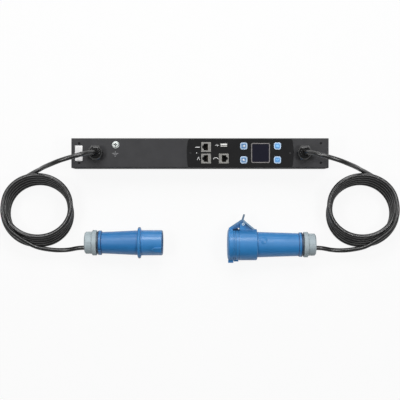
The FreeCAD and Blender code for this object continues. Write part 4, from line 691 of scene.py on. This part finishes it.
# Plug and connector: blue moulded nylon, grey nuts, brass contacts
socketSet = {"front": 0.0479, "across": -0.1596, "rise": 0.0285, "faceHigh": 0.0372}
blueSkin = {
    "dark": tone(33, 120, 184), "light": tone(41, 129, 195), "worn": tone(112, 164, 208), "wear": 0.45,
    "edge": 0.0008, "mottle": 38, "patch": 120, "rough": (0.44, 0.54), "grain": 1700, "depth": 0.00004,
    "shine": 0.6, "coat": 0.45}
bracketSet = {  # from the socket's front and middle line; a slope is its spot, normal, fade and colour
    "outer": 0.0266, "pocket": 0.0018,
    # first slope: painted shade in the pocket; second and third: painted highlights along the rims
    "slopes": [((0.0304, 0.0422), (0.638, 0.770), (-0.0120, -0.0030), tone(14, 74, 124)),
               ((0.0304, 0.0422), (0.638, 0.770), (-0.0031, -0.0027), tone(116, 146, 172)),
               ((0.0248, 0.0436), (-0.548, 0.836), (-0.0028, -0.0024), tone(84, 122, 162))],
    # painted shade in a small spot and at the root beside the housing
    "hole": (0.0685, -0.1232), "holeRadius": 0.0011, "holeTone": tone(8, 34, 62),
    "rootAcross": (0.0170, 0.0262), "rootAlong": (0.0110, 0.0150), "rootShade": 0.55,
    "rootShadeTone": tone(16, 78, 130)}
# painted shade on the lever and on the thumb tab
leverSet = [(0.0285, 0.0335, 0.75, tone(84, 122, 158)), (0.0420, 0.0445, 0.8, tone(92, 112, 130))]
pinSet = {"spot": (0.0755, -0.1234), "edge": (0.0010, 0.0014), "bright": tone(204, 226, 240)}
gripSet = {"groove": 0.1727, "grooveHalf": 0.0008, "grooveShade": tone(26, 84, 140), "throat": 0.1768,
           "throatShade": tone(16, 52, 90), "lip": 0.1797, "lipTone": tone(158, 174, 184)}
plugLow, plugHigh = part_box("plug_collar")
plugSet = {
    "front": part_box("plug_shroud")[1][0], "across": (plugLow[1] + plugHigh[1]) / 2,
    "tip": (plugHigh[1] - plugLow[1]) / 2, "rim": (0.0022, 0.0014), "rimShade": 0.8,
    "rimShadeTone": tone(26, 72, 116), "tipShadeSpan": (0.0030, 0.0012), "tipShadeAmount": 0.75,
    "tipShadeTone": tone(66, 84, 104)}


def bracketMarks(tree, place):
    # Hinge bracket: painted highlights along both slope rims, painted shade in the pocket below the long one,
    # a small spot of painted shade, and painted shade at the root beside the housing.
    b, front, middle = bracketSet, socketSet["front"], socketSet["across"]
    x, y, z = axes(tree, place)
    outer = sums(tree, "MULTIPLY", sums(tree, "GREATER_THAN", y, middle + b["outer"]),
                 sums(tree, "GREATER_THAN", z, socketSet["faceHigh"] - b["pocket"]))
    marks = []
    for spot, normal, stops, colour in b["slopes"]:
        alongX = sums(tree, "MULTIPLY", sums(tree, "SUBTRACT", x, front + spot[0]), normal[0])
        alongY = sums(tree, "MULTIPLY", sums(tree, "SUBTRACT", y, middle + spot[1]), normal[1])
        inside = fade(tree, sums(tree, "ADD", alongX, alongY), *stops)
        marks.append((sums(tree, "MULTIPLY", inside, outer), colour))
    hole = sums(tree, "LESS_THAN", fromAxis(tree, place, b["hole"]), b["holeRadius"])
    marks.append((sums(tree, "MULTIPLY", hole, outer), b["holeTone"]))
    rootY = fade(tree, y, middle + b["rootAcross"][0], middle + b["rootAcross"][1], b["rootShade"])
    rootX = fade(tree, x, front + b["rootAlong"][0], front + b["rootAlong"][1])
    root = sums(tree, "MULTIPLY", rootY, rootX)
    marks.append((sums(tree, "MULTIPLY", root, sums(tree, "SUBTRACT", 1.0, outer)), b["rootShadeTone"]))
    return marks


def leverMarks(tree, place):  # painted shade: lever and thumb tab greyer and darker
    y, middle = axes(tree, place)[1], socketSet["across"]
    return [(fade(tree, y, middle + start, middle + stop, amount), colour)
            for start, stop, amount, colour in leverSet]


def pinMarks(tree, place):  # painted highlight on the edge of the pin head
    return [(fade(tree, fromAxis(tree, place, pinSet["spot"]), *pinSet["edge"]), pinSet["bright"])]


def gripMarks(outward):  # painted shade in the groove and throat at the cable end, and the lip of the clamp nut
    def marks(tree, place):
        reach = sums(tree, "MULTIPLY", axes(tree, place)[0], outward)
        groove = sums(tree, "COMPARE", reach, gripSet["groove"])
        groove.node.inputs[2].default_value = gripSet["grooveHalf"]
        return [(groove, gripSet["grooveShade"]),
                (sums(tree, "GREATER_THAN", reach, gripSet["throat"]), gripSet["throatShade"]),
                (sums(tree, "GREATER_THAN", reach, gripSet["lip"]), gripSet["lipTone"])]
    return marks


def rimMarks(tree, place):  # painted shade along the edge of the plug's mouth
    x, front = axes(tree, place)[0], plugSet["front"]
    start, stop = plugSet["rim"]
    return [(fade(tree, x, front - start, front - stop, plugSet["rimShade"]), plugSet["rimShadeTone"])]


def collarMarks(tree, place):  # painted shade on the tips of the collar
    away = sums(tree, "ABSOLUTE", sums(tree, "SUBTRACT", axes(tree, place)[1], plugSet["across"]), 0.0)
    start, stop = plugSet["tipShadeSpan"]
    mask = fade(tree, away, plugSet["tip"] - start, plugSet["tip"] - stop, plugSet["tipShadeAmount"])
    return [(mask, plugSet["tipShadeTone"])]


socketBlue = mouldedFinish("socketBlue", blueSkin)
collarBlue = mouldedFinish("collarBlue", {**blueSkin, "marks": collarMarks})
shroudBlue = mouldedFinish("shroudBlue", {**blueSkin, "coat": 0.85, "marks": rimMarks})
plugGrip = mouldedFinish("plugGrip", {
    **blueSkin, "dark": tone(28, 111, 174), "light": tone(35, 120, 185), "marks": gripMarks(-1.0)})
socketGrip = mouldedFinish("socketGrip", {**blueSkin, "marks": gripMarks(1.0)})
bracketBlue = mouldedFinish("bracketBlue", {**blueSkin, "marks": bracketMarks})
leverBlue = mouldedFinish("leverBlue", {**blueSkin, "marks": leverMarks})
pinBlue = mouldedFinish("pinBlue", {
    "dark": tone(70, 112, 150), "light": tone(84, 126, 164), "worn": tone(150, 188, 224), "wear": 0.5,
    "edge": 0.0004, "mottle": 300, "patch": 300, "rough": (0.3, 0.42), "grain": 1500, "depth": 0.00002,
    "shine": 0.6, "marks": pinMarks})
insertPlastic = mouldedFinish("insertPlastic", {
    "dark": tone(30, 84, 140), "light": tone(38, 94, 152), "worn": tone(90, 140, 190), "wear": 0.4,
    "edge": 0.0005, "mottle": 60, "patch": 160, "rough": (0.42, 0.55), "grain": 2000, "depth": 0.00005,
    "shine": 0.45})
nutGrey = mouldedFinish("nutGrey", {
    "dark": tone(161, 175, 181), "light": tone(176, 189, 194), "worn": tone(212, 220, 222), "wear": 0.5,
    "edge": 0.0008, "mottle": 60, "patch": 150, "rough": (0.42, 0.56), "grain": 1800, "depth": 0.00006,
    "shine": 0.45})
pinBrass = metalFinish("pinBrass", {
    "dark": tone(168, 150, 112), "light": tone(214, 200, 164), "edge": 0.0004, "mottle": 260, "grain": 400,
    "stretch": (1, 9, 9), "rough": (0.2, 0.34), "depth": 0.00001, "metal": 1.0})
paint(collarBlue, "plug_collar")
paint(shroudBlue, "plug_shroud")
paint(plugGrip, "plug_handle")
paint(socketGrip, "connector_handle")
paint(bracketBlue, "connector_housing")
paint(leverBlue, "connector_lid")
paint(pinBlue, "lid_hinge_pin")
paint(insertPlastic, "plug_insert", "connector_insert")
paint(nutGrey, "plug_clamp_nut", "connector_clamp_nut", "board_standoffs")
paint(pinBrass, "plug_pins", "connector_contacts")
wireSkin = {"wear": 0.2, "edge": 0.0003, "mottle": 140, "patch": 200, "rough": (0.38, 0.5), "grain": 1600,
            "depth": 0.00004, "shine": 0.45}
for name, dark, light in (("line_conductor", tone(92, 52, 30), tone(112, 66, 38)),
                          ("neutral_conductor", tone(34, 66, 150), tone(48, 84, 172)),
                          ("earth_conductor", tone(60, 130, 60), tone(188, 186, 56))):
    wireLook = {**wireSkin, "dark": dark, "light": light, "worn": light}
    paint(mouldedFinish(name.replace("_", "."), wireLook), name)

nubSet = {  # cone ends are place along and radius of the handle there
    "start": 0.1032, "stop": 0.1172, "turn": 23.5, "half": 0.0074, "rise": 0.0015, "sunk": 0.0001,
    "under": 0.0005, "shade": 50, "stepsAlong": 33, "stepsAcross": 25,
    "coneFirst": (0.1001, 0.0223), "coneLast": (0.1732, 0.0200)}


def releaseNub(s):
    # Thumb nub on the handle, t from 0 to 1 along and v from -1 to 1 across:
    # half width half*sin(pi t)^0.6, lift rise*sin(pi t)^0.5*(1-|v|^1.5) above the cone.
    t = np.linspace(0.0, 1.0, s["stepsAlong"])
    v = np.linspace(-1.0, 1.0, s["stepsAcross"])
    along = s["start"] + (s["stop"] - s["start"]) * t
    (firstPlace, firstRadius), (lastPlace, lastRadius) = s["coneFirst"], s["coneLast"]
    coneRadius = firstRadius + (lastRadius - firstRadius) * (along - firstPlace) / (lastPlace - firstPlace)
    bulge = np.maximum(np.sin(np.pi * t), 0)
    angle = np.radians(s["turn"]) + (s["half"] * bulge ** 0.6 / coneRadius)[:, None] * v[None, :]
    lift = (s["rise"] * bulge ** 0.5)[:, None] * (1 - np.abs(v[None, :]) ** 1.5) - s["sunk"]
    places = np.repeat(along[:, None], len(v), axis=1)
    sheets = []
    for radius in (coneRadius[:, None] + lift, np.repeat(coneRadius[:, None] - s["under"], len(v), axis=1)):
        across = socketSet["across"] + radius * np.sin(angle)
        sheets.append(np.stack([places, across, socketSet["rise"] + radius * np.cos(angle)], axis=-1))
    return closedEnds(np.concatenate([sheets[0], sheets[1][:, ::-1]], axis=1))


nub = pieceFromGrids("connector.releaseNub", [releaseNub(nubSet)], nubSet["shade"])
settle(nub, socketBlue)

# Dark blocks put in as shade between the lever and the housing, two blocks beside a small gap, and the web of
# the bracket;
# along and across in mm, heights in metres
shadeBlockSet = {
    "heights": (0.0175, 0.0413),
    "blocks": [[(9.8, 24.2), (17.90, 24.2), (17.90, 29.4), (9.8, 27.0)],
               [(17.94, 24.2), (21.05, 24.2), (21.05, 26.4), (17.94, 26.4)]],
    "web": [(9.6, 26.9), (17.9, 29.45), (21.05, 29.6), (21.05, 36.9), (19.2, 36.4), (9.6, 29.3)],
    "webHeights": (0.0352, 0.0379)}
# dark navy finish of the blocks that stand for shade
shadeBlockDark = mouldedFinish("shadeBlockDark", {
    "dark": tone(10, 34, 60), "light": tone(16, 42, 70), "worn": tone(28, 56, 86), "wear": 0.3,
    "edge": 0.0004, "mottle": 200, "patch": 240, "rough": (0.6, 0.75), "grain": 1800, "depth": 0.00006,
    "shine": 0.2})
origin = np.array([socketSet["front"], socketSet["across"]])
blocks = [prism(origin + np.array(block) * mm, *shadeBlockSet["heights"]) for block in shadeBlockSet["blocks"]]
settle(pieceFromGrids("connector.lidShadeBlocks", blocks), shadeBlockDark)
web = prism(origin + np.array(shadeBlockSet["web"]) * mm, *shadeBlockSet["webHeights"])
settle(pieceFromGrids("connector.web", [web]), insertPlastic)
print("plug and connector finished")

# Floor, soft light and a surround that is white at the horizon and darker overhead
stageSet = {
    "floorHalf": 40.0, "floorTones": (grey(0.80), grey(0.83)), "speck": 30, "floorRough": 0.9, "glow": 0.9,
    "mirrored": 0.15, "worldLight": 0.4, "whiteBelow": 0.05, "darkAbove": 0.16, "overhead": grey(0.14)}


def cameraSees(tree, mirrored=1.0):  # 1 for camera and transmission rays, the given share for glossy ones
    path = tree.nodes.new("ShaderNodeLightPath")
    seen = sums(tree, "MAXIMUM", path.outputs["Is Camera Ray"], path.outputs["Is Transmission Ray"])
    return sums(tree, "MAXIMUM", seen, sums(tree, "MULTIPLY", path.outputs["Is Glossy Ray"], mirrored))


half = stageSet["floorHalf"]
floorCorners = [(-half, -half, 0), (half, -half, 0), (half, half, 0), (-half, half, 0)]
floorMesh = bpy.data.meshes.new("floor")
floorMesh.from_pydata(floorCorners, [], [(0, 1, 2, 3)])
floor = bpy.data.objects.new("floor", floorMesh)
scene.collection.objects.link(floor)
floorMaterial, tree, shader, place = finishFor("paleFloor")
speck = fade(tree, noise(tree, place, stageSet["speck"], surfaceSet["grainDetail"]), *surfaceSet["cloudSpan"])
tree.links.new(blendTone(tree, speck, *stageSet["floorTones"]), shader.inputs["Base Color"])
shader.inputs["Roughness"].default_value = stageSet["floorRough"]
shader.inputs["Specular IOR Level"].default_value = 0.0
glow = tree.nodes.new("ShaderNodeEmission")
glow.inputs["Color"].default_value = grey(1.0)
mixer = tree.nodes.new("ShaderNodeMixShader")
seen = cameraSees(tree, stageSet["mirrored"])
tree.links.new(sums(tree, "MULTIPLY", seen, stageSet["glow"]), mixer.inputs[0])
tree.links.new(shader.outputs[0], mixer.inputs[1])
tree.links.new(glow.outputs[0], mixer.inputs[2])
tree.links.new(mixer.outputs[0], tree.nodes["Material Output"].inputs["Surface"])
floorMesh.materials.append(floorMaterial)

world = bpy.data.worlds.new("studio")
world.use_nodes = True
scene.world = world
tree = world.node_tree
sky = tree.nodes["Background"]
heading = axes(tree, tree.nodes.new("ShaderNodeTexCoord").outputs["Generated"])[2]
rise = fade(tree, heading, stageSet["whiteBelow"], stageSet["darkAbove"])
tree.links.new(blendTone(tree, rise, grey(1.0), stageSet["overhead"]), sky.inputs["Color"])
tree.links.new(spread(tree, cameraSees(tree), 0.0, 1.0, stageSet["worldLight"], 1.0), sky.inputs["Strength"])

lightSet = {
    "keySoft": {"spot": (0.0, 0.92, 1.15), "aim": (0.0, -0.08, 0.03), "size": (0.7, 0.6), "power": 9.2},
    "rimSoft": {"spot": (0.0, 1.9, 0.5), "aim": (0.0, -0.05, 0.06), "size": (1.8, 0.3), "power": 6.5},
    "leftSoft": {"spot": (-0.85, -0.08, 1.45), "aim": (0.0, -0.08, 0.03), "size": (0.34, 0.34), "power": 6.2},
    "rightSoft": {"spot": (0.85, -0.08, 1.45), "aim": (0.0, -0.08, 0.03), "size": (0.34, 0.34), "power": 6.2},
    "leftCorner": {"spot": (-0.75, 0.6, 1.35), "aim": (0.0, -0.08, 0.03), "size": (0.25, 0.25), "power": 3.7},
    "rightCorner": {"spot": (0.75, 0.6, 1.35), "aim": (0.0, -0.08, 0.03), "size": (0.25, 0.25), "power": 3.7},
}
for name, s in lightSet.items():
    lamp = bpy.data.lights.new(name, "AREA")
    lamp.shape = "RECTANGLE"
    lamp.size, lamp.size_y = s["size"]
    lamp.energy = s["power"]
    piece = bpy.data.objects.new(name, lamp)
    piece.location = s["spot"]
    aim = Vector(s["aim"]) - Vector(s["spot"])
    piece.rotation_euler = aim.to_track_quat("-Z", "Y").to_euler()
    scene.collection.objects.link(piece)
print("stage lit")

print("pieces ready")
